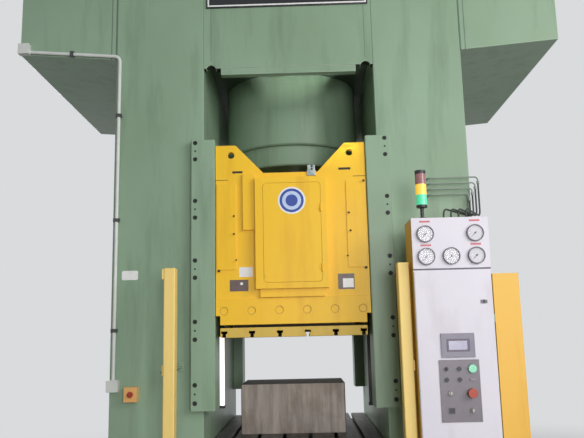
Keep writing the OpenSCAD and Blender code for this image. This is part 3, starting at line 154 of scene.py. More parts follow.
def sprayed_enamel(name, body, faded, grime, roughness=0.38):
    """Two-pack enamel on welded plate: even colour, soft orange peel, faint runs of dust, oil."""
    material, tree, shader, place = blank_material(name, roughness, IOR=1.45)
    wide = cloud(tree, place, 900, (1, 1, 0.6))
    colour = ramp(tree, wide, 0.35, 0.7, body, faded)
    runs = cloud(tree, place, 120, (1, 1, 0.12), 6.0, 0.6)
    dirt = ramp(tree, runs, 0.5, 0.72, "#FFFFFF", grime)
    colour = blend_colour(tree, 0.3, colour, dirt, "MULTIPLY")
    tree.links.new(colour, shader.inputs["Base Color"])
    gloss = add(tree, "ShaderNodeMapRange", links={"Value": wide},
                values={"From Min": 0.3, "From Max": 0.7,
                        "To Min": roughness - 0.05, "To Max": roughness + 0.1})
    tree.links.new(gloss.outputs["Result"], shader.inputs["Roughness"])
    # Orange peel is 1 to 3 mm across; it is drawn at 6 mm to show at all
    bump(tree, shader, cloud(tree, place, 6, detail=2.0), 0.4, 0.25)
    return material


def worn_highlit_edge(name, body):
    """Enamel thinned along an edge: a shade lighter and smoother than the face beside it, as wear
    and as a painted highlight.
    """
    material, tree, shader, place = blank_material(name, 0.35, IOR=1.45)
    colour = ramp(tree, cloud(tree, place, 60, detail=6.0), 0.4, 0.65, body, "#C9C6B4")
    soft = blend_colour(tree, 0.15, linear(body), colour)
    tree.links.new(soft, shader.inputs["Base Color"])
    return material


def powder_coat(name, body, shade):
    """Fine-textured powder coat on sheet steel: matt, even, with a grain of about a millimetre."""
    material, tree, shader, place = blank_material(name, 0.55)
    colour = ramp(tree, cloud(tree, place, 700, (1, 1, 0.7)), 0.35, 0.7, body, shade)
    smudge = ramp(tree, cloud(tree, place, 180, (1, 1, 0.35), 5.0), 0.52, 0.8, "#FFFFFF", "#D2CBC6")
    tree.links.new(blend_colour(tree, 0.5, colour, smudge, "MULTIPLY"), shader.inputs["Base Color"])
    # The grain is drawn at 3 mm to show
    bump(tree, shader, cloud(tree, place, 3, detail=3.0), 0.3, 0.3)
    return material


def planed_steel(name, body, dark, stain, run=(1, 1, 0.1), roughness=0.48):
    """Planed tool steel under dried oil: streaks along one way, brown stains and a dull sheen."""
    material, tree, shader, place = blank_material(name, roughness, 0.35)
    streaks = ramp(tree, cloud(tree, place, 55, run, 7.0, 0.62), 0.34, 0.66, dark, body)
    blotch = ramp(tree, cloud(tree, place, 260, detail=5.0), 0.45, 0.75, "#FFFFFF", stain)
    colour = blend_colour(tree, 0.75, streaks, blotch, "MULTIPLY")
    tree.links.new(colour, shader.inputs["Base Color"])
    # Planing marks are under a millimetre apart; they are drawn at 9 mm to show
    marks = cloud(tree, place, 9, run, 3.0)
    bump(tree, shader, marks, 0.5, 0.35)
    return material


def black_oxide():
    """Black-oxide alloy steel screw: near black with a dry satin sheen."""
    material, tree, shader, place = blank_material("black_oxide_screw", 0.5, 0.4)
    colour = ramp(tree, cloud(tree, place, 12), 0.35, 0.7, "#1B1D1C", "#343634")
    tree.links.new(colour, shader.inputs["Base Color"])
    return material


def hard_chrome():
    """Ground hard chrome drawn dark, with rings of fine scratches."""
    material, tree, shader, place = blank_material("hard_chrome_rod", 0.28, 1.0)
    rings = cloud(tree, place, 8, (0.02, 0.02, 1), 4.0)
    colour = ramp(tree, rings, 0.3, 0.7, "#4B4744", "#66625E")
    tree.links.new(colour, shader.inputs["Base Color"])
    bump(tree, shader, rings, 0.15, 0.15)
    return material


def bearing_bronze():
    """Machined bearing bronze with graphite-dark smears of grease."""
    material, tree, shader, place = blank_material("bearing_bronze", 0.35, 0.9)
    colour = ramp(tree, cloud(tree, place, 40, (1, 1, 0.15), 5.0), 0.35, 0.7, "#5F4A26", "#A8854A")
    tree.links.new(colour, shader.inputs["Base Color"])
    return material


def zinc_tube():
    """Zinc-plated steel tube: pale grey metal with a cloudy bloom."""
    material, tree, shader, place = blank_material("zinc_plated_tube", 0.35, 0.85)
    colour = ramp(tree, cloud(tree, place, 30, detail=5.0), 0.35, 0.7, "#7E8886", "#A9B0AD")
    tree.links.new(colour, shader.inputs["Base Color"])
    return material


def moulded_plastic(name, body, shade, roughness=0.42):
    """Moulded thermoplastic: even colour, fine spark-eroded grain and a soft shine."""
    material, tree, shader, place = blank_material(name, roughness)
    colour = ramp(tree, cloud(tree, place, 90, detail=3.0), 0.35, 0.7, body, shade)
    tree.links.new(colour, shader.inputs["Base Color"])
    bump(tree, shader, cloud(tree, place, 1.5, detail=2.0), 0.1, 0.2)
    return material


def hose_rubber():
    """Extruded black rubber hose: matt, under a grey bloom of dust."""
    material, tree, shader, place = blank_material("black_hose_rubber", 0.7)
    colour = ramp(tree, cloud(tree, place, 25, detail=5.0), 0.35, 0.75, "#2F3533", "#4A524F")
    tree.links.new(colour, shader.inputs["Base Color"])
    return material


def lens(name, body, glow, ribs=0.18):
    """Polycarbonate lens over a lamp: glossy, lit as much as glow, its ribs as strong as ribs."""
    material, tree, shader, place = blank_material(name, 0.22, Coat_Weight=0.4)
    waves = add(tree, "ShaderNodeTexWave", links={"Vector": place}, bands_direction="Z",
                values={"Scale": 40.0, "Distortion": 0.0})
    colour = ramp(tree, waves.outputs["Fac"], 0.2, 0.9, body, "#FFFFFF")
    tinted = blend_colour(tree, ribs, linear(body), colour)
    tree.links.new(tinted, shader.inputs["Base Color"])
    shader.inputs["Emission Color"].default_value = linear(body)
    shader.inputs["Emission Strength"].default_value = glow
    return material


def lit_tube():
    """Milky glass tube of a lit lamp: plain white light with a faint yellow cast in places."""
    material, tree, shader, place = blank_material("lit_lamp_tube", 0.3)
    colour = ramp(tree, cloud(tree, place, 200), 0.3, 0.7, "#FFFBEA", "#FFFFFF")
    tree.links.new(colour, shader.inputs["Base Color"])
    # Over 1, so that the tube is drawn pure white
    shader.inputs["Emission Color"].default_value = linear("#FFFDF2")
    shader.inputs["Emission Strength"].default_value = 1.3
    return material


def printed_plate(name, body, shade, roughness=0.35):
    """Printed, anodised or primed plate: flat colour with faint handling marks."""
    material, tree, shader, place = blank_material(name, roughness)
    colour = ramp(tree, cloud(tree, place, 35, detail=5.0), 0.35, 0.75, body, shade)
    tree.links.new(colour, shader.inputs["Base Color"])
    return material


def clear_glass():
    """Flat gauge glass: clear, with a bright reflection."""
    material, tree, shader, place = blank_material("gauge_glass", 0.05, Alpha=0.12)
    haze = ramp(tree, cloud(tree, place, 40), 0.3, 0.7, "#F4F7F8", "#FFFFFF")
    tree.links.new(haze, shader.inputs["Base Color"])
    return material


GREEN = sprayed_enamel("green_machine_enamel", "#859E83", "#92AC93", "#8A8F7C")
# Lighter broken edges of the green enamel: wear, and a painted highlight
GREEN_EDGE = worn_highlit_edge("green_enamel_edge", "#98B199")
# Painted shade: the crown's underside inside the window, dark green
UNDERSIDE_SHADE = sprayed_enamel("painted_shade_underside_enamel", "#414E41", "#4A584A", "#8A8F7C", 0.5)
YELLOW = sprayed_enamel("yellow_machine_enamel", "#F6C118", "#F8C726", "#CDB070", 0.4)
# Painted shade round the floor of each round recess in the ram's band
RECESS_SHADE_YELLOW = printed_plate("painted_shade_recess_ring", "#BC9332", "#C69D3C", 0.6)
# Lighter broken edges of the yellow enamel: wear, and a painted highlight
YELLOW_EDGE = worn_highlit_edge("yellow_enamel_edge", "#F2C746")
WORN_YELLOW = sprayed_enamel("worn_plate_enamel", "#D2B04A", "#DCBC58", "#A08C58", 0.5)
POST_YELLOW = sprayed_enamel("pale_yellow_post_enamel", "#F5D479", "#F8DA88", "#D9C391", 0.45)
GUARD_YELLOW = sprayed_enamel("guard_yellow_enamel", "#E9B84C", "#EEC05A", "#D9B67C", 0.42)
CABINET = powder_coat("pale_grey_powder_coat", "#DAD5DF", "#E1DCE5")
CABINET_SIDE = sprayed_enamel("cabinet_yellow_enamel", "#DDB02E", "#E4BA42", "#B99D60", 0.45)
TABLE_STEEL = planed_steel("oiled_table_steel", "#7E7A76", "#4A4746", "#8E7C66", (1, 0.1, 1))
RISER_STEEL = planed_steel("mottled_riser_steel", "#A69B92", "#766C66", "#B09C88")
RISER_TOP = planed_steel("oil_dark_riser_top", "#524A42", "#3D3731", "#9A8A76", (1, 0.1, 1), 0.55)
SCREW_BLACK = black_oxide()
CHROME = hard_chrome()
BRONZE = bearing_bronze()
ZINC = zinc_tube()
HOSE = hose_rubber()
BLACK_PLASTIC = moulded_plastic("black_moulded_plastic", "#1A1B1C", "#2A2B2D")
GREY_PLASTIC = moulded_plastic("grey_moulded_plastic", "#7D7887", "#888391")
CONDUIT_GREY = moulded_plastic("pale_conduit_plastic", "#D6D9D5", "#E0E3DF", 0.5)
RED_PLASTIC = moulded_plastic("red_moulded_plastic", "#A83A22", "#B2452B", 0.4)
ORANGE_BOX = moulded_plastic("orange_yellow_box_plastic", "#EFB56C", "#F4BF7A", 0.4)
LINE_GREY = moulded_plastic("grey_painted_line", "#7F8E82", "#8C9A8E", 0.45)
# Painted shade: near black in the crown's relief holes
HOLLOW_SHADE = printed_plate("painted_shade_hollow", "#151C17", "#1D251F", 0.7)
SADDLE_STEEL = moulded_plastic("dark_saddle_steel", "#3A3D3B", "#4A4D4A", 0.5)
RIM_GREY = moulded_plastic("dark_gauge_rim", "#5C5661", "#69636F", 0.35)
# Painted shadow along the joint under the gauge box; the same grey is the screen's own dark bezel
SHADOW_SEAM_AND_BEZEL_GREY = printed_plate("shadow_seam_and_bezel", "#6D6472", "#786F7D", 0.6)
SEAM_GREEN = printed_plate("green_seam_shadow", "#56695A", "#617564", 0.6)
PLATE_BROWN = printed_plate("dark_brown_nameplate", "#574743", "#655350", 0.4)
PANEL = printed_plate("grey_anodised_panel", "#756E75", "#7B747B", 0.4)
BLACK_PLATE = printed_plate("black_sign_enamel", "#15161B", "#1F2027", 0.3)
WHITE_PLATE = printed_plate("white_plate_enamel", "#E6E6E4", "#F1F1EF")
DIAL = printed_plate("pale_gauge_dial", "#D3CFD8", "#DBD8DF", 0.5)
RED_STRIP = printed_plate("red_strip_tape", "#C05A63", "#C96A71")
SIGN_BLUE = printed_plate("blue_disc_enamel", "#1F3F97", "#2748A1", 0.35)
SIGN_PALE = printed_plate("pale_blue_disc_enamel", "#B9CCEE", "#C7D7F2", 0.3)
# Painted shade: near black brown in slots, grooves and the ram's dark marks
SHADOW_GAP = printed_plate("painted_shade_recess", "#241F14", "#2E281A", 0.7)
SCREEN = printed_plate("pale_screen_glass", "#918EA8", "#9B98B2", 0.2)
KEY_METAL = printed_plate("bare_key_metal", "#A9A7A2", "#BAB8B3", 0.25)
MOTOR_BLUE = sprayed_enamel("grey_blue_motor_enamel", "#56707F", "#627D8D", "#8A8F8C", 0.42)
VALVE_DARK = planed_steel("phosphated_valve_steel", "#4C4F50", "#36393A", "#8A8378")
GREEN_LENS = lens("green_lamp_lens", "#2FC690", 0.55)
AMBER_LENS = lens("amber_lamp_lens", "#F4C02E", 0.6)
RED_LENS = lens("red_lamp_lens", "#8E4A4C", 0.05)
START_LENS = lens("start_button_lens", "#35AC7D", 0.2, 0.02)
TUBE_LIT = lit_tube()
TUBE_OFF = moulded_plastic("grey_lamp_housing", "#8A8B8E", "#9A9B9E", 0.35)
GLASS = clear_glass()


# Mesh tools

# Faces of a curved surface meet at less than CURVE_STEP, the facets of a broken edge at more.
# Faces that meet at less than FLAT_STEP are level, and like facets are within LIKE_AREA times.
CURVE_STEP = radians(21.5)
FLAT_STEP = 0.01
LIKE_AREA = 5
# Edges that turn by more than this are broken
SHARP_TURN = radians(28)
# Vertices nearer than this are one, and so are faces that turn by less than the angle
WELD_GAP = 2e-5
WELD_TURN = radians(0.5)
# Faces nearer to a place than this lie on it
SLACK = 0.001
# A face looks along an axis when its normal has this much of it
SQUARE_ON = 0.99


def curved(face):
    """Whether a face is one of a row of like facets that stand for a curved surface."""
    size = face.calc_area()
    for e in face.edges:
        if FLAT_STEP < e.calc_face_angle(0) < CURVE_STEP:
            if any(size / LIKE_AREA < f.calc_area() < size * LIKE_AREA
                   for f in e.link_faces if f is not face):
                return True
    return False


def finish_piece(name, mesh, body, materials):
    """Makes a mesh an object on its body, with only curved faces shaded soft."""
    mesh.normal_update()
    for f in mesh.faces:
        f.smooth = curved(f)
    data = bpy.data.meshes.new(name)
    mesh.to_mesh(data)
    mesh.free()
    for material in materials:
        data.materials.append(material)
    piece = bpy.data.objects.new(name, data)
    bpy.context.scene.collection.objects.link(piece)
    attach(piece, body)
    return piece


def body_of_node(node):
    """The body that a node belongs to."""
    bodies = frame["record"]["behaviour"]["bodies"]
    return next(body for body, members in bodies.items() if node in members)


def slot_of_node(node):
    """The record's material slot of a node."""
    subparts = frame["record"]["subparts"]
    return next(s["material_slot"] for s in subparts if s["node"] == node)


def stand_in(node, mesh, materials):
    """Makes a mesh the piece that stands in for a CAD node, on the node's body."""
    body, slot = body_of_node(node), slot_of_node(node)
    piece = finish_piece(node + "_finished", mesh, body, materials)
    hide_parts(node)


def bevel_edges(mesh, edges, width, material=-1, segments=2):
    """Breaks edges by width; new faces take a material's number, or their neighbours' for -1."""
    bmesh.ops.bevel(mesh, geom=list(edges), offset=width, offset_type="OFFSET", segments=segments,
                    profile=0.5, affect="EDGES", clamp_overlap=True, material=material)


def soften(mesh, width, edge_material=-1, left_sharp=None):
    """Breaks every sharp edge of a mesh, except those that left_sharp picks."""
    edges = [e for e in mesh.edges if e.is_manifold and e.calc_face_angle(0) > SHARP_TURN
             and not (left_sharp and left_sharp(e))]
    bevel_edges(mesh, edges, width, edge_material)


def merged(node):
    """A copy of the node's mesh with its doubles merged and its flat faces whole."""
    mesh = bmesh.new()
    mesh.from_mesh(NODES[node].data)
    bmesh.ops.remove_doubles(mesh, verts=mesh.verts, dist=WELD_GAP)
    bmesh.ops.dissolve_limit(mesh, angle_limit=WELD_TURN, verts=mesh.verts, edges=mesh.edges)
    for f in mesh.faces:
        f.material_index = 0
    return mesh


def solids(mesh):
    """The faces of each separate solid in a mesh."""
    left, found = set(mesh.faces), []
    while left:
        group, front = [], [left.pop()]
        while front:
            face = front.pop()
            group.append(face)
            for other in {f for e in face.edges for f in e.link_faces} & left:
                left.discard(other)
                front.append(other)
        found.append(group)
    return found


def broken_edges(node, width, face, edge=None, left_sharp=None):
    """The node's own shape with its sharp edges broken, in place of the node."""
    mesh = merged(node)
    soften(mesh, width, 1 if edge else -1, left_sharp)
    stand_in(node, mesh, [face, edge] if edge else [face])


def paint_node(node, material):
    """Gives a node that keeps its own mesh a finish."""
    data = NODES[node].data
    data.materials.clear()
    data.materials.append(material)


def number_faces(verts, material):
    """Gives the faces at some vertices a material's number, and returns them."""
    faces = {f for v in verts for f in v.link_faces}
    for f in faces:
        f.material_index = material
    return faces


def block(mesh, low, high, material):
    """Adds a sharp box between two corners, and returns its faces."""
    low, high = Vector(low), Vector(high)
    place = Matrix.Translation((low + high) / 2) @ Matrix.Diagonal((*(high - low), 1))
    return number_faces(bmesh.ops.create_cube(mesh, size=1, matrix=place)["verts"], material)


def slab(mesh, low, high, material=0, width=0.0):
    """Adds a box between two corners, with its edges broken by width."""
    faces = block(mesh, low, high, material)
    if width:
        bevel_edges(mesh, {e for f in faces for e in f.edges}, width)


def front_plate(mesh, middle, size, front, back, material=0, width=0.0):
    """Adds a plate seen from the front: its middle and size in x and z, its front and back in y."""
    (x, z), (wide, tall) = middle, size
    slab(mesh, (x - wide / 2, front, z - tall / 2), (x + wide / 2, back, z + tall / 2),
         material, width)


def rounded_plate(mesh, low, high, corner):
    """Adds a thin plate in front view with its four corners rounded."""
    faces = block(mesh, low, high, 0)
    deep = {e for f in faces for e in f.edges if abs(e.verts[0].co.y - e.verts[1].co.y) > WELD_GAP}
    bevel_edges(mesh, deep, corner, segments=6)


# Turns what is made along Z to lie along an axis
TURN = {"X": Matrix.Rotation(pi / 2, 4, "Y"),
        "Y": Matrix.Rotation(pi / 2, 4, "X"),
        "Z": Matrix.Identity(4)}


def drum(mesh, middle, axis, radius, length, material=0, segments=48):
    """Adds a closed cylinder round middle along an axis."""
    place = Matrix.Translation(middle) @ TURN[axis]
    made = bmesh.ops.create_cone(mesh, cap_ends=True, segments=segments, radius1=radius,
                                 radius2=radius, depth=length, matrix=place)["verts"]
    number_faces(made, material)


def ring(mesh, middle, axis, outer, inner, length, segments=40):
    """Adds a flat ring with a square section by spinning its outline."""
    old, half = set(mesh.verts), length / 2
    outline = ((inner, -half), (outer, -half), (outer, half), (inner, half))
    corners = [mesh.verts.new((r, 0, h)) for r, h in outline]
    edges = [mesh.edges.new((corners[i], corners[(i + 1) % 4])) for i in range(4)]
    bmesh.ops.spin(mesh, geom=corners + edges, cent=(0, 0, 0), axis=(0, 0, 1), angle=2 * pi,
                   steps=segments, use_merge=True)
    made = [v for v in mesh.verts if v not in old]
    bmesh.ops.transform(mesh, matrix=Matrix.Translation(middle) @ TURN[axis], verts=made)
    bmesh.ops.recalc_face_normals(mesh, faces=list(number_faces(made, 0)))


# CAD nodes that keep their own mesh or get broken edges

CROWN_LOW, CROWN_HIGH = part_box("crown")
FRAME_FACE = CROWN_LOW.y
WINDOW_EDGE, WINDOW_TOP = CROWN_HIGH.x, CROWN_LOW.z
RELIEF_TOP = WINDOW_TOP + 0.10


def ground_joint(edge):
    """An edge of the flush joint between the crown and a column, where the weld is ground off."""
    return all(abs(abs(v.co.x) - WINDOW_EDGE) < SLACK and v.co.z > WINDOW_TOP - SLACK
               for v in edge.verts)


def riser_with_dark_top():
    """The riser block, with its top dark with oil."""
    mesh = merged("riser_block")
    for f in mesh.faces:
        f.material_index = 1 if f.normal.z > SQUARE_ON else 0
    soften(mesh, 0.002)
    stand_in("riser_block", mesh, [RISER_STEEL, RISER_TOP])


def crown_with_reliefs():
    """The crown, with painted shade in the relief holes at the window's upper corners and on its
    underside above its lower lip.
    """
    edge, hollow, underside = 1, 2, 3
    relief_width, relief_area, lip, across = 0.13, 0.3, 0.02, 0.5
    mesh = merged("crown")
    for f in mesh.faces:
        middle = f.calc_center_median()
        inside = abs(middle.x) < WINDOW_EDGE
        in_corner = inside and abs(middle.x) > WINDOW_EDGE - relief_width and middle.z < RELIEF_TOP
        # Faces in the relief holes and on the underside take painted shade
        if in_corner and abs(f.normal.y) < across and f.calc_area() < relief_area:
            f.material_index = hollow
        elif inside and f.normal.z < -SQUARE_ON and middle.z > WINDOW_TOP + lip:
            f.material_index = underside
    soften(mesh, 0.004, edge, ground_joint)
    stand_in("crown", mesh, [GREEN, GREEN_EDGE, HOLLOW_SHADE, UNDERSIDE_SHADE])


def dress_frame():
    """Welded frame, its guides, and the cylinder."""
    for node in ("left_column", "right_column"):
        broken_edges(node, 0.004, GREEN, GREEN_EDGE, ground_joint)
    crown_with_reliefs()
    for node, width in (("bed", 0.004), ("side_wings", 0.005), ("front_gibs", 0.0025),
                        ("rear_gibs", 0.0025), ("stand_off_arms", 0.0015)):
        broken_edges(node, width, GREEN, GREEN_EDGE)
    for node in ("main_cylinder", "gland_ring"):
        paint_node(node, GREEN)
    broken_edges("side_guard", 0.001, GUARD_YELLOW)
    broken_edges("curtain_posts", 0.0015, POST_YELLOW)
    broken_edges("bolster_plate", 0.002, TABLE_STEEL)
    riser_with_dark_top()
    paint_node("gib_screws", SCREW_BLACK)


def slotted_plate():
    """The ram's T-slot plate: enamelled outside, with painted shade in its slots and groove."""
    enamel, edge, in_shade = 0, 1, 2
    low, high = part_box("tslot_plate")
    mesh = merged("tslot_plate")
    for f in mesh.faces:
        middle, normal = f.calc_center_median(), f.normal
        front = abs(normal.y) > SQUARE_ON and min(middle.y - low.y, high.y - middle.y) < SLACK
        side = abs(normal.x) > SQUARE_ON and min(middle.x - low.x, high.x - middle.x) < SLACK
        under = normal.z < -SQUARE_ON and middle.z - low.z < SLACK
        # Faces inside the slots and groove take painted shade
        f.material_index = enamel if front or side or under else in_shade
    soften(mesh, 0.0015, edge)
    stand_in("tslot_plate", mesh, [WORN_YELLOW, YELLOW_EDGE, SHADOW_GAP])


def dress_ram():
    """The guided ram and what is bolted to it."""
    for node, width in (("ram_body", 0.004), ("ram_front_plate", 0.0025),
                        ("ram_rear_plate", 0.0025), ("hatch_frame", 0.0015),
                        ("side_covers", 0.0015), ("hatch_door", 0.0012)):
        broken_edges(node, width, YELLOW, YELLOW_EDGE)
    slotted_plate()
    paint_node("guide_strips", BRONZE)
    paint_node("piston_rod", CHROME)


def door_with_lock_plate():
    """The cabinet door in pale powder coat, with dark plastic for the raised plate at its lock."""
    lock_plate, raised = 1, 0.0002
    mesh = merged("cabinet_door")
    fronts = [f for f in mesh.faces if f.normal.y < -SQUARE_ON]
    sheet = max(fronts, key=lambda f: f.calc_area()).calc_center_median().y
    for f in mesh.faces:
        if f.calc_center_median().y < sheet - raised:
            f.material_index = lock_plate
    soften(mesh, 0.0012)
    stand_in("cabinet_door", mesh, [CABINET, RIM_GREY])


def switchgear():
    """The cabinet's zinc-plated plate with dark switchgear and pale wiring ducts on it."""
    plate, block_face, duct_face = 0, 1, 2
    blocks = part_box("mounting_plate")[0].y
    ducts = blocks + 0.030
    mesh = merged("mounting_plate")
    for f in mesh.faces:
        front = min(v.co.y for v in f.verts)
        f.material_index = (block_face if front < blocks + SLACK
                            else duct_face if front < ducts + SLACK else plate)
    soften(mesh, 0.0015)
    stand_in("mounting_plate", mesh, [ZINC, SADDLE_STEEL, CONDUIT_GREY])


def dress_cabinet():
    """Housing, door, box, panel and their controls."""
    broken_edges("cabinet", 0.001, CABINET_SIDE)
    door_with_lock_plate()
    broken_edges("screen_unit", 0.0008, GREY_PLASTIC)
    broken_edges("operator_panel", 0.0005, PANEL)
    switchgear()
    broken_edges("gauge_cases", 0.0012, RIM_GREY)
    for node, material in (("door_lock", BLACK_PLASTIC), ("start_button", START_LENS),
                           ("push_button_1", BLACK_PLASTIC), ("push_button_2", BLACK_PLASTIC),
                           ("push_button_3", BLACK_PLASTIC), ("selector_1", BLACK_PLASTIC),
                           ("selector_2", KEY_METAL), ("emergency_stop", RED_PLASTIC),
                           ("isolator_knob", RED_PLASTIC)):
        broken_edges(node, 0.0007, material)
    paint_node("key_switch", KEY_METAL)
    for i in range(1, 6):
        paint_node(f"needle_{i}", BLACK_PLASTIC)


def conduit_run():
    """The pale conduit and its dark saddles, in place of their node."""
    saddle_size = 0.1
    mesh = merged("conduit")
    for group in solids(mesh):
        heights = [v.co.z for f in group for v in f.verts]
        sides = [v.co.x for f in group for v in f.verts]
        largest = max(max(heights) - min(heights), max(sides) - min(sides))
        for f in group:
            f.material_index = 1 if largest < saddle_size else 0
    stand_in("conduit", mesh, [CONDUIT_GREY, SADDLE_STEEL])


def dress_services():
    """Pipes, hoses, boxes, signal lamps, pump and valves."""
    conduit_run()
    broken_edges("junction_boxes", 0.002, CONDUIT_GREY)
    broken_edges("isolator_box", 0.002, ORANGE_BOX)
    for node, material in (("signal_base", BLACK_PLASTIC), ("signal_green", GREEN_LENS),
                           ("signal_amber", AMBER_LENS), ("signal_red", RED_LENS),
                           ("gauge_lines", LINE_GREY), ("gauge_hoses", HOSE), ("feed_pipes", ZINC)):
        paint_node(node, material)
    broken_edges("pump_motor", 0.003, MOTOR_BLUE)
    broken_edges("valve_block", 0.003, VALVE_DARK)


# The gauges in their three columns and two rows

GAUGE_LOW, GAUGE_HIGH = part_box("gauge_cases")
GAUGE_RADIUS = 0.0535
DIAL_RADIUS = GAUGE_RADIUS - 0.0065
COLUMNS = (GAUGE_LOW.x + GAUGE_RADIUS, (GAUGE_LOW.x + GAUGE_HIGH.x) / 2,
           GAUGE_HIGH.x - GAUGE_RADIUS)
ROWS = (GAUGE_HIGH.z - GAUGE_RADIUS, GAUGE_LOW.z + GAUGE_RADIUS)


def gauge_box():
    """The gauge box: yellow housing behind a pale front plate, in place of its node."""
    low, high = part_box("gauge_box")
    plate = 0.012
    mesh = bmesh.new()
    slab(mesh, (low.x, low.y + plate, low.z), high, 1, 0.0015)
    slab(mesh, low, (high.x, low.y + plate, high.z), 0, 0.002)
    stand_in("gauge_box", mesh, [CABINET, CABINET_SIDE])


def dial_ticks(mesh, face, x, z):
    """Adds the ticks round a dial, from the lower left over the top, every third a long one."""
    sweep, step = 135, 10
    wide, thick, margin = 0.0010, 0.0002, 0.003
    for i, degrees in enumerate(range(-sweep, sweep + 1, step)):
        reach = 0.008 if i % 3 == 0 else 0.005
        out = DIAL_RADIUS - margin - reach / 2
        place = (Matrix.Translation((x, face, z)) @ Matrix.Rotation(radians(degrees), 4, "Y")
                 @ Matrix.Translation((0, 0, out)) @ Matrix.Diagonal((wide, thick, reach, 1)))
        number_faces(bmesh.ops.create_cube(mesh, size=1, matrix=place)["verts"], 1)


def gauge_faces():
    """Dials with ticks, and glasses over them."""
    dial_back, dial_thick = GAUGE_LOW.y + 0.008, 0.0001
    glass_middle, glass_thick, glass_gap = GAUGE_LOW.y + 0.002, 0.0012, 0.0005
    for column, row in ((0, 0), (2, 0), (0, 1), (1, 1), (2, 1)):
        x, z = COLUMNS[column], ROWS[row]
        mesh = bmesh.new()
        drum(mesh, (x, dial_back - dial_thick / 2, z), "Y", DIAL_RADIUS, dial_thick)
        dial_ticks(mesh, dial_back - dial_thick, x, z)
        finish_piece(f"gauge_dial_{column}_{row}", mesh, "frame", [DIAL, RIM_GREY])
        mesh = bmesh.new()
        drum(mesh, (x, glass_middle, z), "Y", DIAL_RADIUS - glass_gap, glass_thick)
        finish_piece(f"gauge_glass_{column}_{row}", mesh, "frame", [GLASS])


def red_strips():
    """The blank red strips above four of the gauges."""
    face, size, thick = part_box("gauge_box")[0].y, (0.066, 0.012), 0.0008
    mesh = bmesh.new()
    for column, z in ((0, 2.296), (2, 2.297), (0, 2.146), (2, 2.148)):
        front_plate(mesh, (COLUMNS[column], z), size, face - thick, face, 0, 0.0003)
    finish_piece("red_strips", mesh, "frame", [RED_STRIP])


def box_shadow_seam():
    """The dark joint and painted shadow under the gauge box, and the pale strip of the cabinet's
    front below it.
    """
    low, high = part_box("gauge_box")
    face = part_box("cabinet")[0].y
    inset, proud, deep, tall = 0.0005, 0.0008, 0.001, 0.009
    mesh = bmesh.new()
    # The first strip is painted shadow, the second the cabinet's pale front
    for material in (0, 1):
        top = low.z - material * tall
        slab(mesh, (low.x + inset, face - proud, top - tall), (high.x - inset, face + deep, top),
             material)
    finish_piece("box_shadow_seam", mesh, "frame", [SHADOW_SEAM_AND_BEZEL_GREY, CABINET])


# Faces of the ram that the small marks sit on; the hatch door's is its sheet, behind its hinges

COVER_FACE, RAM_FACE = (corner.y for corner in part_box("side_covers"))
DOOR_FACE = -1.150
RECESS_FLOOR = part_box("ram_front_plate")[0].y + 0.004


def sign_board():
    """Blank black sign board with a thin white line inside its edge, in place of its node."""
    rim, line = 0.012, 0.016
    mesh = bmesh.new()
    slab(mesh, *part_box("sign_board"), 0, 0.002)
    fronts = [f for f in mesh.faces if f.normal.y < -SQUARE_ON]
    front = min(fronts, key=lambda f: f.calc_center_median().y)
    bmesh.ops.inset_region(mesh, faces=[front], thickness=rim, depth=0)
    for f in bmesh.ops.inset_region(mesh, faces=[front], thickness=line, depth=0)["faces"]:
        f.material_index = 1
    stand_in("sign_board", mesh, [BLACK_PLATE, WHITE_PLATE])


def work_lamps():
    """A lit tube on the left and an unlit one on the right, in black holders, for their node."""
    low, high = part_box("work_lamps")
    x, y, radius, wall = 0.556, (low.y + high.y) / 2, 0.018, 0.004
    lower_holder, upper_holder = 0.020, 0.170
    bottom, top = low.z + lower_holder, high.z - upper_holder
    for name, side, glass in (("left", -1, TUBE_LIT), ("right", 1, TUBE_OFF)):
        mesh = bmesh.new()
        drum(mesh, (side * x, y, (bottom + top) / 2), "Z", radius, top - bottom)
        left, right = sorted((side * (x - radius - wall), side * high.x))
        for z0, z1 in ((low.z, bottom), (top, high.z)):
            slab(mesh, (left, low.y, z0), (right, high.y, z1), 1, 0.003)
        piece = finish_piece(f"work_lamp_{name}", mesh, "frame",
                             [glass, BLACK_PLASTIC])
        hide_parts("work_lamps")


def blue_disc():
    """A blank blue disc with a white rim and a pale ring on the hatch door."""
    x, z, thick, step = 0.006, 2.536, 0.0012, 0.0002
    mesh = bmesh.new()
    for i, (radius, material) in enumerate(((0.096, 0), (0.084, 1), (0.066, 2), (0.042, 1))):
        proud = thick + step * i
        drum(mesh, (x, DOOR_FACE - proud / 2, z), "Y", radius, proud, material)
    finish_piece("blank_blue_disc", mesh, "hatch",
                 [WHITE_PLATE, SIGN_BLUE, SIGN_PALE])


def dark_marks():
    """Slots, joint lines and screws on the ram's front, all dark: painted shade in the slots, with
    the joints and screw heads in the same dark.
    """
    slot, line, proud, screw_length = 0.008, 0.002, 0.0004, 0.004
    mesh = bmesh.new()
    # From left to right, middle height, half the mark's own height, and depth into the plate
    for left, right, z, half, deep in (
            (-0.410, -0.339, 2.761, slot, 0.004), (0.340, 0.425, 2.768, slot, 0.004),
            (-0.530, -0.440, 2.706, line, 0.002), (0.440, 0.530, 2.712, line, 0.002)):
        slab(mesh, (left, RAM_FACE - proud, z - half), (right, RAM_FACE + deep, z + half))
    # The screws' places and head radii
    for x, z, radius in ((-0.400, 2.442, 0.007), (-0.400, 2.316, 0.007), (-0.385, 2.134, 0.006),
                         (-0.505, 2.061, 0.010), (0.401, 2.447, 0.007), (0.409, 2.321, 0.007),
                         (0.383, 2.146, 0.006), (0.507, 2.062, 0.009), (0.512, 2.672, 0.008)):
        drum(mesh, (x, COVER_FACE - screw_length / 4, z), "Y", radius, screw_length, 0, 20)
    finish_piece("ram_dark_marks", mesh, "ram", [SHADOW_GAP])


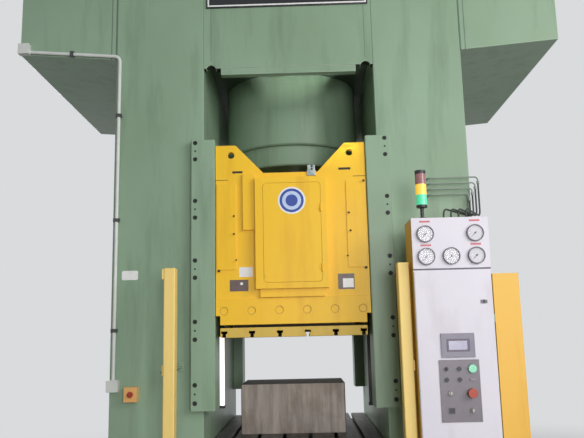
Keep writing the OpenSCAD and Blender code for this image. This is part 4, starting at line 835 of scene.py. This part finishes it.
def recess_rings():
    """A ring of painted shade in each of the six round recesses of the ram's band."""
    pitch, z, outer, inner, thick = 0.190, 1.787, 0.0275, 0.0235, 0.0008
    mesh = bmesh.new()
    for i in range(6):
        ring(mesh, ((i - 2.5) * pitch, RECESS_FLOOR - thick / 2, z), "Y", outer, inner, thick)
    finish_piece("recess_rings", mesh, "ram", [RECESS_SHADE_YELLOW])


def ram_plates():
    """Bare plates on the ram's front: two brown ones with white marks, and a white one."""
    mesh = bmesh.new()
    for left, right, bottom, top, proud, material in (
            (-0.434, -0.305, 1.920, 1.999, 0.0012, 0), (0.312, 0.425, 1.918, 2.025, 0.0012, 0),
            (0.345, 0.418, 1.930, 1.992, 0.0018, 1), (-0.368, -0.275, 2.018, 2.086, 0.0010, 1)):
        slab(mesh, (left, RAM_FACE - proud, bottom), (right, RAM_FACE, top), material, 0.0004)
    drum(mesh, (-0.352, RAM_FACE - 0.0014, 1.972), "Y", 0.010, 0.0012, 1, 24)
    finish_piece("ram_blank_plates", mesh, "ram", [PLATE_BROWN, WHITE_PLATE])


def notch_fitting():
    """The small bracket on the edge of the ram's notch: a leg, a foot and a lug with screws."""
    edge, left, right, front, inset = 2.752, 0.117, 0.179, RAM_FACE - 0.010, 0.004
    foot_top, lug_top = edge + 0.008, edge + 0.050
    mesh = bmesh.new()
    slab(mesh, (left, front, edge - 0.030), (right, RAM_FACE, edge + 0.002), 0, 0.001)
    slab(mesh, (left, front, edge), (right, RAM_FACE + 0.046, foot_top), 0, 0.001)
    slab(mesh, (left + inset, RAM_FACE - 0.002, foot_top),
         (right - inset, RAM_FACE + 0.030, lug_top), 0, 0.002)
    screw_x, screw_radius, screw_length = 0.152, 0.007, 0.006
    for z in (edge + 0.018, edge + 0.039):
        drum(mesh, (screw_x, RAM_FACE - 0.004, z), "Y", screw_radius, screw_length, 1, 20)
    finish_piece("notch_fitting", mesh, "ram", [ZINC, SCREW_BLACK])


def frame_seams():
    """Shadow lines of the welded seams, on the crown and where the wings meet the columns."""
    wing_low, wing_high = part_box("side_wings")
    proud, deep, end = 0.0006, 0.001, 0.005
    crown_top, wing_top = CROWN_HIGH.z - end, wing_high.z - end
    mesh = bmesh.new()
    for side in (-1, 1):
        # Distance from the middle, half the seam's width, the face it is on, and its ends
        for x, half, face, bottom, top in (
                (0.566, 0.0018, FRAME_FACE, RELIEF_TOP, crown_top),
                (1.269, 0.004, wing_low.y, wing_low.z, wing_top),
                (1.303, 0.003, wing_low.y, wing_low.z, wing_top)):
            slab(mesh, (side * x - half, face - proud, bottom), (side * x + half, face + deep, top))
    finish_piece("frame_seams", mesh, "frame", [SEAM_GREEN])


def flange_bolts():
    """Hexagon bolts on washers round the cylinder's flange on the crown."""
    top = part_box("main_cylinder")[1].z
    count, circle = 24, 0.61
    mesh = bmesh.new()
    for i in range(count):
        turn = 2 * pi * i / count
        for bottom, height, radius, sides in ((0, 0.004, 0.034, 32), (0.003, 0.030, 0.028, 6)):
            middle = (circle * cos(turn), circle * sin(turn), top + bottom + height / 2)
            drum(mesh, middle, "Z", radius, height, 0, sides)
    finish_piece("flange_bolts", mesh, "frame", [SCREW_BLACK])


def white_label():
    """Bare white label on the left column."""
    mesh = bmesh.new()
    rounded_plate(mesh, (-1.194, FRAME_FACE - 0.0015, 2.019), (-1.080, FRAME_FACE, 2.084), 0.012)
    finish_piece("blank_white_label", mesh, "frame", [WHITE_PLATE])


def post_tabs():
    """A tab with a cable gland on each post's outer side, and one more at the left post's top."""
    low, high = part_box("curtain_posts")
    front, back, bottom, top, reach = -1.480, -1.420, 1.383, 1.447, 0.010
    gland_out, gland_height, gland_radius, gland_length = 0.014, 1.402, 0.008, 0.012
    mesh = bmesh.new()
    for outer, side in ((low.x, -1), (high.x, 1)):
        left, right = sorted((outer, outer + side * reach))
        slab(mesh, (left, front, bottom), (right, back, top), 0, 0.002)
        if side < 0:
            slab(mesh, (outer - 0.012, front - 0.010, high.z - 0.070),
                 (outer, back, high.z - 0.004), 0, 0.002)
        drum(mesh, (outer + side * gland_out, (front + back) / 2, gland_height), "X",
             gland_radius, gland_length, 1, 24)
    finish_piece("post_glands", mesh, "frame", [POST_YELLOW, BLACK_PLASTIC])


def panel_parts():
    """The socket's face and the bare label on the operator panel."""
    low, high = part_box("operator_panel")
    face, middle, pitch = low.y, (low.x + high.x) / 2, 0.078
    mesh = bmesh.new()
    place = middle - 0.74 * pitch, high.z - 0.298
    front_plate(mesh, place, (0.031, 0.031), face - 0.0012, face, 0, 0.0006)
    finish_piece("socket_face", mesh, "cabinet_door", [BLACK_PLASTIC])
    mesh = bmesh.new()
    x, z, wide, tall, proud = middle + pitch, high.z - 0.117, 0.034, 0.014, 0.0006
    rounded_plate(mesh, (x - wide / 2, face - proud, z - tall / 2),
                  (x + wide / 2, face + proud, z + tall / 2), 0.002)
    finish_piece("panel_label", mesh, "cabinet_door", [GREY_PLASTIC])


def lock_collar():
    """The collar round the cabinet's lock."""
    low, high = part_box("door_lock")
    outer, inner, thick, proud = 0.013, 0.0085, 0.004, 0.006
    mesh = bmesh.new()
    middle = ((low.x + high.x) / 2, high.y - proud, (low.z + high.z) / 2)
    ring(mesh, middle, "Y", outer, inner, thick)
    finish_piece("lock_collar", mesh, "cabinet_door", [BLACK_PLASTIC])


def screen():
    """The screen's dark bezel and pale glass in its rim."""
    low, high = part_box("screen_unit")
    middle = (low.x + high.x) / 2, (low.z + high.z) / 2
    mesh = bmesh.new()
    for size, front, back, material in (((0.136, 0.078), 0.0010, 0.003, 0),
                                        ((0.112, 0.054), 0.0006, 0.0012, 1)):
        front_plate(mesh, middle, size, low.y + front, low.y + back, material, 0.0002)
    finish_piece("screen_glass", mesh, "cabinet_door", [SHADOW_SEAM_AND_BEZEL_GREY, SCREEN])


dress_frame()
dress_ram()
dress_cabinet()
dress_services()
gauge_box()
gauge_faces()
red_strips()
box_shadow_seam()
sign_board()
work_lamps()
blue_disc()
dark_marks()
recess_rings()
ram_plates()
notch_fitting()
frame_seams()
flange_bolts()
white_label()
post_tabs()
panel_parts()
lock_collar()
screen()


# Studio

PALE_GROUND = "#D9DBDD"
HALL_FLOOR = "#85847F"
HALL_LIGHT = "#F2F5F7"
# Metres: half the floor's side, and how far from the middle it starts and ends to fade
FLOOR_HALF = 30
FADE_START, FADE_END = 3.0, 8.5
# Each light's place, target, width and height, watts, and spread in degrees
LIGHTS = {
    "key_light": ((4.6, -5.4, 4.0), (0.6, -1, 2.6), (3.5, 3.5), 222, 180),
    "front_light": ((1.6, -9.0, 2.2), (0.3, -1, 2.4), (2.5, 2.5), 225, 180),
    "cylinder_light": ((0.1, -3.15, 0.34), (0.1, -0.5, 3.86), (0.7, 0.1), 1.1, 6),
    "rear_light": ((-4.5, 7.0, 6.0), (0, 1, 2.5), (4.0, 4.0), 330, 180)}


def seen_by_eye(tree):
    """1 for what the camera, a mirror or a glass sees, 0 for the light that falls on the press."""
    path = add(tree, "ShaderNodeLightPath")
    seen = add(tree, "ShaderNodeMath", operation="MAXIMUM",
               links={0: path.outputs["Is Camera Ray"], 1: path.outputs["Is Glossy Ray"]})
    return add(tree, "ShaderNodeMath", operation="MAXIMUM",
               links={0: seen.outputs[0], 1: path.outputs["Is Transmission Ray"]}).outputs[0]


def studio_floor():
    """Floor with the press's shadow: pale to the eye, darker in the light it sends up."""
    mesh = bmesh.new()
    bmesh.ops.create_grid(mesh, x_segments=1, y_segments=1, size=FLOOR_HALF)
    data = bpy.data.meshes.new("studio_floor")
    mesh.to_mesh(data)
    mesh.free()
    floor = bpy.data.objects.new("studio_floor", data)
    bpy.context.scene.collection.objects.link(floor)
    floor.location.z = -0.001
    material, tree, shader, place = blank_material("studio_floor_paint", 0.8)
    colour = ramp(tree, cloud(tree, place, 2500), 0.3, 0.7, "#DADBDB", "#E2E2E2")
    seen = seen_by_eye(tree)
    paint = blend_colour(tree, seen, linear(HALL_FLOOR), colour)
    tree.links.new(paint, shader.inputs["Base Color"])
    away = add(tree, "ShaderNodeVectorMath", operation="LENGTH", links={0: place})
    fade = add(tree, "ShaderNodeMapRange", interpolation_type="SMOOTHSTEP",
               links={"Value": away.outputs["Value"]},
               values={"From Min": FADE_START, "From Max": FADE_END})
    share = add(tree, "ShaderNodeMath", operation="MULTIPLY",
                links={0: fade.outputs["Result"], 1: seen})
    pale = add(tree, "ShaderNodeEmission", values={"Color": linear(PALE_GROUND), "Strength": 1.0})
    mix = add(tree, "ShaderNodeMixShader",
              links={0: share.outputs[0], 1: shader.outputs[0], 2: pale.outputs[0]})
    tree.links.new(mix.outputs[0], tree.nodes["Material Output"].inputs["Surface"])
    data.materials.append(material)


def pale_world():
    """Pale backdrop for the eye over the dim, even light of a hall."""
    world = bpy.data.worlds.new("studio_world")
    bpy.context.scene.world = world
    world.use_nodes = True
    tree = world.node_tree
    tree.nodes.clear()
    dim = add(tree, "ShaderNodeBackground", values={"Color": linear(HALL_LIGHT), "Strength": 0.25})
    pale = add(tree, "ShaderNodeBackground", values={"Color": linear(PALE_GROUND), "Strength": 1.0})
    mix = add(tree, "ShaderNodeMixShader",
              links={0: seen_by_eye(tree), 1: dim.outputs[0], 2: pale.outputs[0]})
    add(tree, "ShaderNodeOutputWorld", links={"Surface": mix.outputs[0]})


def studio_lights():
    """A soft key from the right front, a front light, a low one on the cylinder and a rear one."""
    for name, (spot, target, (wide, tall), power, spread) in LIGHTS.items():
        data = bpy.data.lights.new(name, "AREA")
        data.shape = "RECTANGLE"
        data.size, data.size_y = wide, tall
        data.energy = power
        data.spread = radians(spread)
        light = bpy.data.objects.new(name, data)
        light.visible_camera = False
        turn = (Vector(target) - Vector(spot)).to_track_quat("-Z", "Y").to_matrix().to_4x4()
        light.matrix_world = Matrix.Translation(spot) @ turn
        bpy.context.scene.collection.objects.link(light)


studio_floor()
pale_world()
studio_lights()
bpy.context.scene.view_settings.view_transform = "Standard"
